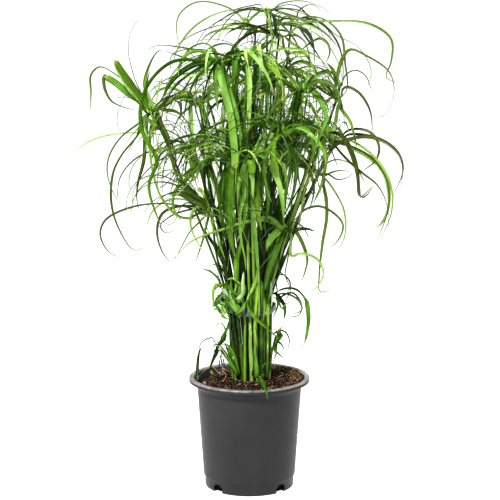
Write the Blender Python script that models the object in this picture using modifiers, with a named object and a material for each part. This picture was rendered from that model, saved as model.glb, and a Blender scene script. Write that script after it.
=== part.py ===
"""Potted umbrella sedge: a nursery pot, its soil, a tie, culms and their whorls of bracts.

Metres, +Z up. The origin is the centre of the pot's base, and the photograph looks
along +Y from 2.3 m in front of the pot. Plant parts that the photograph shows are
given by their place in it, in pixels, and by how far they lie behind the pot's axis.
"""
import math
import random
from collections import namedtuple

import bmesh
import bpy
from mathutils import Matrix, Vector
from mathutils.bvhtree import BVHTree

# The view of the photograph
EYE = Vector((0.0, -2.326, 0.748))
PITCH = math.radians(10.0)
FOCAL = 1694.0
AXIS_ACROSS = 249.3
MIDDLE_DOWN = 250.0

# Pot
POT_HEIGHT = 0.157
RIM_RADIUS = 0.085
RIM_INNER_RADIUS = 0.078
RIM_LIP = 0.006
WALL_TOP_RADIUS = 0.0735
WALL_TOP_HEIGHT = 0.144
WALL_FOOT_RADIUS = 0.0648
FOOT_STEP_HEIGHT = 0.0165
FOOT_RADIUS = 0.0625
WALL = 0.0018
FLOOR = 0.0022
POT_STEPS = 40
NOTCH_WIDTH = 0.0165
NOTCH_HEIGHT = 0.0115
NOTCH_TURNS = (45.0, 135.0, 225.0, 315.0)

# Soil
SOIL_TOP = 0.1545
SOIL_EDGE = 0.1500
SOIL_FLAT_RADIUS = 0.042
GAP = 0.0003

# Tie
TIE_HEIGHT = 0.2555
TIE_BAND = 0.0105
TIE_THICK = 0.0012
TIE_HALF_WIDTH = 0.0345
TIE_HALF_DEPTH = 0.0315

# Culms and bracts
WAIST = 0.268
KNOTS = (0.1548, 0.205, WAIST, 0.335, 0.415, 0.500, 0.585)
CULM_CLEAR = 0.0012
FOOT_SQUEEZE = 0.68
FOOT_SHIFT = 0.0055
HUB_RADIUS = 0.0036
HUB_HEIGHT = 0.0050
BLADE_THICK = 0.0009
BLADE_CLEAR = 0.0005
CANOPY_TOP = 0.690
BLADE_SIDES = ("left", "keel", "right", "fold")

# How far left and right the canopy goes by height, for the bracts that are not traced
LEFT_EDGE = ((0.302, -0.034), (0.338, -0.047), (0.373, -0.067), (0.408, -0.118),
             (0.443, -0.130), (0.478, -0.143), (0.530, -0.158), (0.582, -0.145),
             (0.615, -0.110), (0.649, -0.080), (0.675, -0.045))
RIGHT_EDGE = ((0.302, 0.036), (0.338, 0.052), (0.373, 0.064), (0.408, 0.076), (0.443, 0.098),
              (0.478, 0.118), (0.513, 0.128), (0.582, 0.128), (0.620, 0.125), (0.649, 0.115),
              (0.675, 0.090))
CANOPY_DEPTH = 0.210

Stem = namedtuple("Stem", "crown thick tie path spare")
Leaf = namedtuple("Leaf", "width drift turn places")
Shoot = namedtuple("Shoot", "crown thick foot leaves")

# crown is (across, down, depth), tie is (across, depth) where the culm passes the tie,
# path is (across, down) on the way, spare is how many bracts beside the traced ones
STEMS = (
    Stem((153, 112, -0.020), 0.0042, (226.5, 0.006), (), 3),
    Stem((220.5, 61, -0.055), 0.0062, (236.0, -0.024), ((229, 89), (234, 150), (231, 198)), 4),
    Stem((249, 63, -0.075), 0.0056, (248.0, -0.026), ((248, 120), (248, 220)), 4),
    Stem((255.5, 28, 0.060), 0.0036, (252.0, 0.012), ((254, 60),), 3),
    Stem((267, 10.5, 0.020), 0.0036, (258.0, 0.002), ((267, 60), (265, 140)), 3),
    Stem((292, 19, 0.075), 0.0036, (262.0, 0.016), (), 3),
    Stem((279, 36, -0.020), 0.0038, (263.5, -0.008), ((275, 70),), 4),
    Stem((302, 91, -0.075), 0.0046, (262.0, -0.022), (), 5),
    Stem((318, 174, -0.030), 0.0042, (270.5, -0.004), ((296, 221), (285, 260)), 3),
    Stem((239.5, 104, 0.040), 0.0048, (243.0, 0.006), (), 6),
    Stem((337, 99, 0.020), 0.0040, (268.5, 0.006), (), 4),
    Stem((335, 141, 0.080), 0.0040, (266.5, 0.020), (), 4),
    Stem((321, 130, -0.075), 0.0046, (267.5, -0.016), (), 5),
    Stem((279, 79, 0.115), 0.0040, (257.0, 0.024), (), 6),
    Stem((258, 88, 0.130), 0.0040, (248.0, 0.026), (), 6),
    Stem((252, 156, -0.105), 0.0058, (254.5, -0.025), ((252, 200),), 5),
    Stem((234, 160, -0.085), 0.0048, (241.5, -0.021), (), 5),
    Stem((205, 163, -0.050), 0.0046, (231.5, -0.014), (), 5),
    Stem((194, 147, 0.060), 0.0040, (229.5, 0.016), (), 5),
    Stem((212, 215, -0.030), 0.0040, (228.0, -0.006), (), 3),
    Stem((283, 133, -0.110), 0.0046, (258.5, -0.018), (), 5),
    Stem((287, 156, 0.105), 0.0040, (260.0, 0.022), (), 6),
    Stem((313, 149, 0.000), 0.0042, (267.5, -0.001), (), 4),
    Stem((199, 104, 0.095), 0.0040, (235.0, 0.022), (), 5),
    Stem((285, 228, -0.050), 0.0044, (264.5, -0.019), (), 3),
)

# Traced bracts of each culm, by the culm's number
TRACED = {
    1: (
        Leaf(0.0085, -0.045, (60, 90), ((142, 101), (131, 89), (117, 69), (112.5, 57))),
        Leaf(0.0050, 0.050, (20, 60), ((131, 89), (117, 76), (100, 67), (91, 75), (91, 92),
                                       (90.4, 110))),
        Leaf(0.0060, 0.085, (10, 70), ((144.7, 89), (147, 71), (156, 53), (163, 49))),
        Leaf(0.0052, -0.095, (10, 80), ((141.6, 122), (121, 138), (109, 158), (108, 176),
                                        (118, 200.5), (135.4, 213.5))),
        Leaf(0.0046, 0.060, (10, 20), ((140, 133), (122.5, 155), (113.6, 173), (111.3, 200),
                                       (117, 224), (134, 250), (146.6, 246.5))),
        Leaf(0.0042, -0.060, (30, 60), ((151, 130), (150.5, 150), (155, 180), (163.6, 201),
                                        (179, 217), (208, 218))),
    ),
    2: (
        Leaf(0.0080, -0.050, (20, 85), ((193, 61), (172, 63.5), (152, 81), (142, 104),
                                        (143, 132), (157, 160), (149, 186), (157, 216),
                                        (164, 231))),
        Leaf(0.0060, 0.050, (40, 10), ((205, 54), (182, 48), (158, 45.6), (145, 51))),
    ),
    3: (
        Leaf(0.0100, 0.050, (85, 40), ((236, 62.5), (214, 62.5), (194, 65), (173, 80),
                                       (160, 103))),
        Leaf(0.0060, -0.040, (60, 60), ((262, 62.5), (270, 66), (277, 74), (281, 88))),
    ),
    4: (
        Leaf(0.0050, -0.030, (15, 30), ((236, 13), (218, 4.5), (200, 2), (187, 7), (178, 18),
                                        (177.4, 37.5), (187, 68))),
        Leaf(0.0060, -0.090, (60, 60), ((247.5, 35), (235, 47), (227, 60), (222, 78))),
    ),
    5: (
        Leaf(0.0052, -0.060, (20, 70), ((249, 10), (235, 14), (222.5, 27), (217, 43))),
        Leaf(0.0040, 0.045, (10, 10), ((256, 8), (238, 11.5), (222.5, 19), (205, 31),
                                       (194, 49))),
        Leaf(0.0036, 0.080, (10, 20), ((280, 4.5), (303, 1.2), (323, 8), (333, 16))),
    ),
    6: (
        Leaf(0.0056, -0.050, (30, 70), ((307, 17), (325, 20.5), (341, 36), (345, 62.5),
                                        (347, 89), (339, 100))),
        Leaf(0.0042, 0.060, (10, 10), ((317.5, 21), (337, 36), (358, 47), (371, 70),
                                       (367.5, 87.5))),
    ),
    7: (
        Leaf(0.0050, 0.030, (10, 80), ((302, 25), (334, 22), (369, 24), (391, 39), (391, 62),
                                       (386, 77), (397, 83))),
    ),
    8: (
        Leaf(0.0060, 0.080, (40, 60), ((314, 78), (326, 72), (335, 76), (339, 92))),
    ),
    9: (
        Leaf(0.0062, 0.030, (60, 70), ((323, 184), (326, 214), (322, 244), (319, 275),
                                       (320, 292), (332, 289))),
        Leaf(0.0036, -0.060, (10, 10), ((331, 187), (344, 211), (344.5, 237), (337, 251))),
        Leaf(0.0046, 0.050, (50, 20), ((334, 146), (350, 139), (373, 137), (396, 150),
                                       (403, 169), (391, 200))),
    ),
    11: (
        Leaf(0.0048, -0.070, (10, 60), ((342, 60), (350, 50), (366, 56), (389, 72), (394, 93),
                                        (386, 114), (375, 118))),
        Leaf(0.0036, 0.060, (10, 10), ((346, 87), (358, 92), (369, 108), (372.7, 131.5))),
    ),
    12: (
        Leaf(0.0060, -0.060, (30, 80), ((347, 147), (370, 159), (385, 176), (388, 210),
                                        (377, 227), (367.5, 211))),
    ),
    13: (
        Leaf(0.0048, -0.030, (20, 70), ((339, 134), (349, 150), (357, 175), (360, 197),
                                        (373, 186))),
    ),
    19: (
        Leaf(0.0040, 0.040, (10, 80), ((172, 138), (133.5, 133), (104, 136), (84.5, 144),
                                       (73.3, 155), (73, 161))),
    ),
    20: (
        Leaf(0.0042, 0.040, (10, 80), ((189.5, 208.6), (163, 204), (129.6, 208),
                                       (105.5, 220), (100.2, 234), (107, 250), (121, 259))),
        Leaf(0.0056, -0.040, (60, 70), ((203, 206), (193, 212), (191, 226), (199, 245),
                                        (205, 254))),
        Leaf(0.0036, 0.020, (20, 20), ((207, 224), (202, 243), (195, 264))),
    ),
    25: (
        Leaf(0.0042, -0.020, (10, 60), ((304, 211), (322, 207), (343, 224.5), (336, 243),
                                        (328, 248))),
        Leaf(0.0052, 0.040, (60, 70), ((297, 234), (307, 258), (305.5, 269), (301, 283))),
        Leaf(0.0052, 0.010, (70, 30), ((296, 229.5), (308, 229), (316, 232))),
    ),
}

SHOOTS = (
    Shoot((245, 302, -0.0290), 0.0040, (245.0, -0.026), (
        Leaf(0.0105, -0.004, (80, 85), ((244.5, 294), (243.5, 284), (244, 270))),
        Leaf(0.0050, -0.006, (70, 70), ((249, 293), (254, 286), (259, 279))),
        Leaf(0.0056, -0.012, (70, 80), ((251, 311, -0.0420), (258, 320, -0.0430),
                                        (266, 327, -0.0430), (275, 335, -0.042),
                                        (280, 341, -0.041))),
    )),
    Shoot((220, 345, -0.030), 0.0034, (236.0, -0.012), (
        Leaf(0.0040, -0.010, (60, 70), ((216, 352), (212, 361), (210, 369))),
        Leaf(0.0034, -0.030, (20, 70), ((211, 338), (201, 343), (198.5, 356), (198, 370))),
        Leaf(0.0046, 0.012, (60, 60), ((223, 337), (227, 329), (229.5, 319))),
    )),
    Shoot((226.5, 284, -0.010), 0.0034, (233.0, -0.010), (
        Leaf(0.0036, 0.010, (20, 20), ((217, 273), (208, 270), (200, 268))),
        Leaf(0.0036, -0.012, (30, 30), ((220, 286), (214, 291), (213, 301), (215, 310))),
        Leaf(0.0030, 0.030, (20, 20), ((222, 269), (214, 265), (205, 267))),
    )),
    Shoot((275.5, 336, -0.006), 0.0034, (267.5, -0.010), (
        Leaf(0.0042, 0.010, (60, 60), ((279, 331), (283, 326.5))),
        Leaf(0.0032, 0.020, (10, 40), ((283, 330.5), (289, 338), (288, 348), (285, 353))),
        Leaf(0.0032, -0.020, (20, 50), ((276.5, 345), (276, 355), (272, 363))),
    )),
    Shoot((271.5, 294, 0.006), 0.0034, (268.5, 0.006), (
        Leaf(0.0046, 0.030, (10, 80), ((290, 288.5), (304.5, 297), (309, 318), (306, 340),
                                       (297, 352))),
        Leaf(0.0036, -0.030, (10, 60), ((285, 294), (298, 300), (302, 310), (290, 315))),
        Leaf(0.0036, -0.010, (50, 40), ((283, 306), (284.6, 314), (281, 325))),
    )),
    Shoot((258, 375, -0.024), 0.0036, (257.0, -0.022), (
        Leaf(0.0056, 0.0, (20, 10), ((261, 381, -0.040), (264, 386.5, -0.0697),
                                     (265.3, 389.5, -0.0865), (266.5, 393, -0.0900),
                                     (267.5, 397.5, -0.0905), (268.5, 402, -0.0905))),
        Leaf(0.0040, 0.0, (60, 70), ((257, 366, -0.031), (254, 358, -0.034),
                                     (252, 350, -0.036))),
        Leaf(0.0036, 0.0, (60, 70), ((262, 368, -0.034), (266, 363, -0.042),
                                     (271, 362, -0.050))),
    )),
)


def spot(across, down, depth):
    """The point that the photograph shows at (across, down), depth behind the pot's axis."""
    ahead = Vector((0.0, math.cos(PITCH), -math.sin(PITCH)))
    above = Vector((0.0, math.sin(PITCH), math.cos(PITCH)))
    ray = ahead + above * ((MIDDLE_DOWN - down) / FOCAL)
    ray.x = (across - AXIS_ACROSS) / FOCAL
    return EYE + ray * ((depth - EYE.y) / ray.y)


def seen(place):
    """Where the photograph shows a point, as (across, down)."""
    ahead = Vector((0.0, math.cos(PITCH), -math.sin(PITCH)))
    above = Vector((0.0, math.sin(PITCH), math.cos(PITCH)))
    away = place - EYE
    far = away.dot(ahead)
    return AXIS_ACROSS + FOCAL * away.x / far, MIDDLE_DOWN - FOCAL * away.dot(above) / far


def mix(low, high, part):
    return low + (high - low) * part


def ease(part):
    part = min(max(part, 0.0), 1.0)
    return part * part * (3.0 - 2.0 * part)


def table(pairs, key):
    """Read a value from sorted (key, value) pairs, straight between them."""
    if key <= pairs[0][0]:
        return pairs[0][1]
    for (low, first), (high, second) in zip(pairs, pairs[1:]):
        if key <= high:
            return mix(first, second, (key - low) / (high - low))
    return pairs[-1][1]


def smooth_line(points, fine=8):
    """A smooth curve through the points, as a list of close points."""
    ends = [points[0] * 2 - points[1]] + list(points) + [points[-1] * 2 - points[-2]]
    line = []
    for a, b, c, d in zip(ends, ends[1:], ends[2:], ends[3:]):
        first = max((b - a).length, 1e-6) ** 0.5
        middle = max((c - b).length, 1e-6) ** 0.5
        last = max((d - c).length, 1e-6) ** 0.5
        start = (b - a) / first - (c - a) / (first + middle) + (c - b) / middle
        finish = (c - b) / middle - (d - b) / (middle + last) + (d - c) / last
        start *= middle
        finish *= middle
        for step in range(fine):
            t = step / fine
            line.append(b * (2 * t**3 - 3 * t**2 + 1) + start * (t**3 - 2 * t**2 + t)
                        + c * (3 * t**2 - 2 * t**3) + finish * (t**3 - t**2))
    line.append(points[-1].copy())
    return line


class Route:
    """A line in space that is read by the share of its length, with a side direction."""

    def __init__(self, line, turn=(0.0, 0.0)):
        self.line = line
        self.reach = [0.0]
        for low, high in zip(line, line[1:]):
            self.reach.append(self.reach[-1] + (high - low).length)
        self.length = self.reach[-1]
        self.turn = turn
        self.headings = []
        for i in range(len(line)):
            ahead = line[min(i + 1, len(line) - 1)] - line[max(i - 1, 0)]
            self.headings.append(ahead.normalized())
        side = Vector((0.0, 0.0, 1.0)).cross(self.headings[0])
        if side.length < 0.05:
            side = Vector((1.0, 0.0, 0.0))
        self.sides = [side.normalized()]
        for low, high in zip(self.headings, self.headings[1:]):
            side = low.rotation_difference(high) @ self.sides[-1]
            self.sides.append((side - high * side.dot(high)).normalized())

    def frame(self, share):
        """Place, heading and side at a share of the length."""
        want = share * self.length
        i = 0
        while i < len(self.reach) - 2 and self.reach[i + 1] < want:
            i += 1
        part = (want - self.reach[i]) / max(self.reach[i + 1] - self.reach[i], 1e-9)
        place = self.line[i].lerp(self.line[i + 1], part)
        heading = self.headings[i].lerp(self.headings[i + 1], part).normalized()
        side = self.sides[i].lerp(self.sides[i + 1], part)
        side = (side - heading * side.dot(heading)).normalized()
        angle = math.radians(mix(self.turn[0], self.turn[1], ease(share)))
        angle *= ease(share * 5.0)
        return place, heading, Matrix.Rotation(angle, 3, heading) @ side


def clear_scene():
    for item in list(bpy.data.objects):
        bpy.data.objects.remove(item, do_unlink=True)


def collection(name):
    group = bpy.data.collections.new(name)
    bpy.context.scene.collection.children.link(group)
    return group


def finish(name, color, roughness):
    material = bpy.data.materials.new(name)
    material.use_nodes = True
    shader = material.node_tree.nodes["Principled BSDF"]
    shader.inputs["Base Color"].default_value = (*color, 1.0)
    shader.inputs["Roughness"].default_value = roughness
    shader.inputs["Metallic"].default_value = 0.0
    return material


def new_object(name, data, group, material=None):
    item = bpy.data.objects.new(name, data)
    group.objects.link(item)
    if material is not None:
        item.data.materials.append(material)
    return item


def turned(name, profile, steps, group, material):
    """A closed turned shape from (radius, height) points, outer side from the top down."""
    mesh = bpy.data.meshes.new(name)
    bm = bmesh.new()
    points = [bm.verts.new((radius, 0.0, height)) for radius, height in profile]
    for low, high in zip(points, points[1:]):
        bm.edges.new((low, high))
    if profile[0][0] > 1e-6 or profile[-1][0] > 1e-6:
        bm.edges.new((points[-1], points[0]))
    bm.to_mesh(mesh)
    bm.free()
    item = new_object(name, mesh, group, material)
    screw = item.modifiers.new("turn", "SCREW")
    screw.axis = "Z"
    screw.angle = math.tau
    screw.steps = steps
    screw.render_steps = steps
    screw.use_merge_vertices = True
    screw.merge_threshold = 0.00005
    screw.use_smooth_shade = False
    return item


def pot_inner_radius(height):
    """Radius of the inside of the pot's wall at a height."""
    levels = ((FLOOR, FOOT_RADIUS - WALL), (FOOT_STEP_HEIGHT + 0.002, WALL_FOOT_RADIUS - WALL),
              (WALL_TOP_HEIGHT + 0.001, WALL_TOP_RADIUS - WALL),
              (POT_HEIGHT - 0.006, RIM_INNER_RADIUS - 0.0012), (POT_HEIGHT, RIM_INNER_RADIUS))
    return table(levels, height)


def build_pot(group, cutters, material):
    lip_foot = POT_HEIGHT - RIM_LIP
    outer = [(RIM_INNER_RADIUS, POT_HEIGHT), (RIM_RADIUS - 0.0014, POT_HEIGHT),
             (RIM_RADIUS, POT_HEIGHT - 0.0014), (RIM_RADIUS, lip_foot + 0.0008),
             (RIM_RADIUS - 0.0010, lip_foot), (RIM_INNER_RADIUS + 0.0010, lip_foot - 0.0008),
             (WALL_TOP_RADIUS, WALL_TOP_HEIGHT), (WALL_FOOT_RADIUS, FOOT_STEP_HEIGHT),
             (FOOT_RADIUS + 0.0006, FOOT_STEP_HEIGHT - 0.0016), (FOOT_RADIUS, 0.0006),
             (FOOT_RADIUS - 0.0006, 0.0), (0.0, 0.0)]
    heights = (FLOOR, FOOT_STEP_HEIGHT + 0.002, WALL_TOP_HEIGHT + 0.001, POT_HEIGHT - 0.006)
    inner = [(0.0, FLOOR)] + [(pot_inner_radius(height), height) for height in heights]
    pot = turned("pot", outer + inner, POT_STEPS, group, material)
    for number, turn in enumerate(NOTCH_TURNS, 1):
        notch = notch_cutter(f"notch_cutter_{number}", turn, cutters)
        cut = pot.modifiers.new(f"notch {number}", "BOOLEAN")
        cut.operation = "DIFFERENCE"
        cut.solver = "EXACT"
        cut.object = notch
    return pot


def notch_cutter(name, turn, group):
    """A block that cuts a drain notch through the wall's foot and the floor's edge."""
    mesh = bpy.data.meshes.new(name)
    bm = bmesh.new()
    bmesh.ops.create_cube(bm, size=1.0)
    bmesh.ops.scale(bm, vec=(0.022, NOTCH_WIDTH, NOTCH_HEIGHT * 2), verts=bm.verts)
    edges = [edge for edge in bm.edges if abs(edge.verts[0].co.y - edge.verts[1].co.y) < 1e-6
             and edge.verts[0].co.z > 0 and edge.verts[1].co.z > 0
             and abs(edge.verts[0].co.x - edge.verts[1].co.x) > 1e-6]
    bmesh.ops.bevel(bm, geom=edges, offset=0.0030, segments=2, affect="EDGES")
    bm.to_mesh(mesh)
    bm.free()
    item = new_object(name, mesh, group)
    angle = math.radians(turn)
    item.location = (FOOT_RADIUS * math.cos(angle), FOOT_RADIUS * math.sin(angle), 0.0)
    item.rotation_euler = (0.0, 0.0, angle)
    item.hide_render = True
    item.display_type = "WIRE"
    return item


def build_soil(group, material):
    """Soil that fills the pot, with a low mound where the culms stand."""
    top = [(0.0, SOIL_TOP), (SOIL_FLAT_RADIUS, SOIL_TOP), (0.062, SOIL_TOP - 0.0018)]
    heights = (SOIL_EDGE, WALL_TOP_HEIGHT + 0.001, FOOT_STEP_HEIGHT + 0.002, FLOOR + GAP)
    side = [(pot_inner_radius(height) - GAP * 1.4, height) for height in heights]
    profile = top + side + [(0.0, FLOOR + GAP)]
    return turned("soil", profile, POT_STEPS, group, material)


def tie_rise(angle):
    """How far the strap rides up at its sides, by the angle round the bundle."""
    return 0.003 * math.cos(angle) ** 2 - 0.002 * math.cos(angle)


def build_tie(group, material):
    """A flat strap round the culms, with a knot and a short tail on its left."""
    mesh = bpy.data.meshes.new("tie")
    bm = bmesh.new()
    bmesh.ops.create_circle(bm, segments=36, radius=1.0)
    top = bmesh.ops.extrude_edge_only(bm, edges=bm.edges)["geom"]
    bmesh.ops.translate(bm, vec=(0.0, 0.0, 1.0),
                        verts=[item for item in top if isinstance(item, bmesh.types.BMVert)])
    for vert in bm.verts:
        angle = math.atan2(vert.co.y, vert.co.x)
        level = vert.co.z - 0.5
        vert.co = (TIE_HALF_WIDTH * math.cos(angle), TIE_HALF_DEPTH * math.sin(angle),
                   TIE_HEIGHT + TIE_BAND * level + tie_rise(angle))
    bmesh.ops.recalc_face_normals(bm, faces=bm.faces)
    bm.to_mesh(mesh)
    bm.free()
    tie = new_object("tie", mesh, group, material)
    thick = tie.modifiers.new("thickness", "SOLIDIFY")
    thick.thickness = TIE_THICK
    thick.offset = 1.0
    return tie


def add_tie_knot(tie, cutters):
    """The knot where the strap's ends meet, and its tail, joined to the strap."""
    for name, size, place, tilt in (
            ("knot_shape", (0.0090, 0.0110, 0.0125), (-0.0375, -0.0100, 0.2610), 20.0),
            ("tail_shape", (0.0024, 0.0075, 0.0180), (-0.0410, -0.0125, 0.2715), -22.0)):
        mesh = bpy.data.meshes.new(name)
        bm = bmesh.new()
        bmesh.ops.create_cube(bm, size=1.0)
        bmesh.ops.scale(bm, vec=size, verts=bm.verts)
        bmesh.ops.bevel(bm, geom=bm.edges, offset=min(size) * 0.22, segments=1,
                        affect="EDGES")
        bm.to_mesh(mesh)
        bm.free()
        item = new_object(name, mesh, cutters)
        item.location = place
        item.rotation_euler = (0.0, math.radians(tilt), math.radians(15.0))
        item.hide_render = True
        item.display_type = "WIRE"
        join = tie.modifiers.new(name, "BOOLEAN")
        join.operation = "UNION"
        join.solver = "EXACT"
        join.object = item


def inside_tie(across, depth, radius):
    """Pull a culm's place at the tie's height inside the strap."""
    wide = TIE_HALF_WIDTH - radius - 0.0012
    deep = TIE_HALF_DEPTH - radius - 0.0012
    far = math.hypot(across / wide, depth / deep)
    if far > 1.0:
        return across / far, depth / far
    return across, depth


def stem_levels(top):
    """Heights at which a culm's line has a point, from the soil up."""
    return [level for level in KNOTS if level < top - 0.030] + [top]


def plan_stem(crown, tie, path):
    """A culm's line: from a narrow foot up to the tie, then fanning out to its crown."""
    top = spot(*crown)
    across, low = seen(Vector((tie[0], tie[1], WAIST)))
    places = sorted((down, place) for place, down in
                    tuple(path) + ((crown[0], crown[1]), (across, low)))
    foot = Vector((tie[0] * FOOT_SQUEEZE + FOOT_SHIFT, tie[1] * FOOT_SQUEEZE, KNOTS[0]))
    waist = Vector((tie[0], tie[1], WAIST))
    line = []
    for level in stem_levels(top.z):
        if level <= WAIST:
            line.append(foot.lerp(waist, (level - foot.z) / (waist.z - foot.z)))
            continue
        part = (level - WAIST) / (top.z - WAIST)
        depth = mix(tie[1], top.y, part ** 1.15)
        if path:
            down = seen(Vector((0.0, depth, level)))[1]
            line.append(Vector((spot(table(places, down), down, depth).x, depth, level)))
        else:
            line.append(Vector((mix(tie[0], top.x, part ** 1.10), depth, level)))
    line[-1] = top
    return line


def line_at(line, level):
    """Place of a line at a height, with the two points that hold it."""
    if level < line[0].z - 1e-9 or level > line[-1].z + 1e-9:
        return None
    for i in range(len(line) - 1):
        if level <= line[i + 1].z + 1e-9:
            part = (level - line[i].z) / (line[i + 1].z - line[i].z)
            return line[i].lerp(line[i + 1], part), i, part
    return None


def part_stems(lines, radii):
    """Push neighbouring culms apart, so that none touches another or a crown."""
    levels = sorted(set([round(mix(low, high, part), 4)
                         for low, high in zip(KNOTS, KNOTS[1:] + (0.68,))
                         for part in (0.0, 0.33, 0.67)]
                        + [round(line[-1].z, 4) for line in lines]))
    for _ in range(70):
        for level in levels:
            held = []
            for number, line in enumerate(lines):
                found = line_at(line, level)
                if found is not None:
                    crown = abs(level - line[-1].z) < 0.008
                    held.append((number, found, HUB_RADIUS + 0.0008 if crown else radii[number]))
            for first in range(len(held)):
                for second in range(first + 1, len(held)):
                    push_apart(lines, held[first], held[second])
        for line, radius in zip(lines, radii):
            for i, place in enumerate(line[:-1]):
                if place.z <= WAIST + 1e-6:
                    across, depth = inside_tie(place.x, place.y, radius)
                    line[i] = Vector((across, depth, place.z))
    return lines


def push_apart(lines, one, two):
    """Move two culms apart at one height where they are closer than they may be."""
    away = one[1][0] - two[1][0]
    away.z = 0.0
    need = one[2] + two[2] + CULM_CLEAR
    if away.length >= need:
        return
    if away.length < 1e-6:
        away = Vector((1e-5, 0.0, 0.0))
    move = away.normalized() * ((need - away.length) * 0.3)
    for sign, (number, (place, i, part), _) in ((1.0, one), (-1.0, two)):
        line = lines[number]
        top = len(line) - 1
        if i > 0 or part < 0.5:
            line[i] = line[i] + move * (sign * (1.0 - part))
        if i + 1 < top:
            line[i + 1] = line[i + 1] + move * (sign * part)


def build_culm(name, line, thick, group, material):
    """A culm as a slightly tapering tube that stops just under its crown."""
    top = line[-1] - (line[-1] - line[-2]).normalized() * (HUB_HEIGHT * 0.5 + GAP)
    points = line[:-1] + [top]
    curve = bpy.data.curves.new(name, "CURVE")
    curve.dimensions = "3D"
    curve.bevel_depth = thick * 0.5
    curve.bevel_resolution = 1
    curve.use_fill_caps = True
    spline = curve.splines.new("POLY")
    spline.points.add(len(points) - 1)
    for number, place in enumerate(points):
        spline.points[number].co = (*place, 1.0)
        spline.points[number].radius = mix(1.0, 0.78, number / (len(points) - 1))
    return new_object(name, curve, group, material)


def blade_width(share, width):
    """Width of a bract along its length: narrow at the root, widest early, a fine tip."""
    return width * mix(0.50, 1.0, ease(share / 0.22)) * max(1.0 - share ** 2.4, 0.0) ** 0.8


def blade_section(route, share, width, grow=0.0):
    """The four corners of a bract's folded cross-section, by name."""
    place, heading, side = route.frame(share)
    up = heading.cross(side)
    wide = blade_width(share, width) * 0.5 + grow
    lift = blade_width(share, width) * mix(0.22, 0.06, share)
    thick = BLADE_THICK * 0.5 + grow
    return {"left": place - side * wide + up * lift, "keel": place - up * thick,
            "right": place + side * wide + up * lift, "fold": place + up * thick}


def blade_shares(route):
    """Where a bract has cross-sections, closer together on a long one."""
    spans = 6 if route.length > 0.190 else 5
    if route.length > 0.260:
        spans = 8
    if route.length < 0.080:
        spans = 4
    root = min(0.012 / route.length, 0.15)
    return [root] + [mix(root, 1.0, i / (spans - 1)) for i in range(1, spans - 1)]


def blade_tree(route, width, whole, grow=BLADE_CLEAR):
    """A search tree of a bract's surface, whole or without its root beside the crown."""
    shares = [0.0] + blade_shares(route) if whole else blade_shares(route)[1:]
    verts = []
    faces = []
    for share in shares:
        section = blade_section(route, share, width, grow)
        verts += [section[side] for side in BLADE_SIDES]
    verts.append(route.frame(1.0)[0])
    for ring in range(len(shares) - 1):
        for corner in range(4):
            a = ring * 4 + corner
            b = ring * 4 + (corner + 1) % 4
            faces += [(a, b, b + 4), (a, b + 4, a + 4)]
    last = (len(shares) - 1) * 4
    faces += [(last + corner, last + (corner + 1) % 4, len(verts) - 1) for corner in range(4)]
    return BVHTree.FromPolygons(verts, faces)


def tube_tree(line, radius):
    """A search tree of a six-sided tube round a line."""
    verts = []
    faces = []
    for place in line:
        for corner in range(6):
            angle = corner * math.pi / 3.0
            verts.append(place + Vector((math.cos(angle), math.sin(angle), 0.0)) * radius)
    for ring in range(len(line) - 1):
        for corner in range(6):
            a = ring * 6 + corner
            b = ring * 6 + (corner + 1) % 6
            faces += [(a, b, b + 6), (a, b + 6, a + 6)]
    top = len(verts) - 6
    faces += [(0, 1, 2, 3, 4, 5), (top, top + 1, top + 2, top + 3, top + 4, top + 5)]
    return BVHTree.FromPolygons(verts, faces)


def traced_route(hub, leaf, toward, swing, bulge):
    """A bract's line through the places where the photograph shows it."""
    points = [hub + toward * HUB_RADIUS, hub + toward * 0.010]
    lengths = [0.0]
    ahead = seen(hub)
    for place in leaf.places:
        lengths.append(lengths[-1] + math.hypot(place[0] - ahead[0], place[1] - ahead[1]))
        ahead = place[:2]
    for place, length in zip(leaf.places, lengths[1:]):
        part = length / lengths[-1]
        if len(place) == 3:
            depth = place[2]
        else:
            depth = hub.y + leaf.drift * part + swing * math.sin(part * math.pi * 0.5)
            depth += bulge * math.sin(part * math.pi)
        points.append(spot(place[0], place[1], depth))
    return Route(smooth_line(points), leaf.turn)


def arched_route(hub, toward, length, rise, drop, curl, turn):
    """A bract's line that leaves the crown, arches over and hangs."""
    place = hub + toward * HUB_RADIUS
    line = [place.copy()]
    bearing = math.atan2(toward.y, toward.x)
    steps = 22
    for step in range(steps):
        share = (step + 0.5) / steps
        slope = mix(rise, -drop, share ** 1.15)
        heading = bearing + curl * share ** 1.6
        start = ease(share * 7.0)
        ahead = Vector((math.cos(heading) * math.cos(slope),
                        math.sin(heading) * math.cos(slope), math.sin(slope)))
        ahead = (toward * (1.0 - start) + ahead * start).normalized()
        place = place + ahead * (length / steps)
        line.append(place.copy())
    return Route(line, turn)


def around(axis, angle):
    """A direction square to a crown's axis, at an angle round it."""
    side = Vector((1.0, 0.0, 0.0))
    side = (side - axis * side.dot(axis)).normalized()
    return Matrix.Rotation(angle, 3, axis) @ side


def bearing_of(hub, axis, place):
    """The angle round a crown's axis at which a place lies."""
    away = place - hub
    side = around(axis, 0.0)
    front = axis.cross(side)
    return math.atan2(away.dot(front), away.dot(side)) % math.tau


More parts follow.
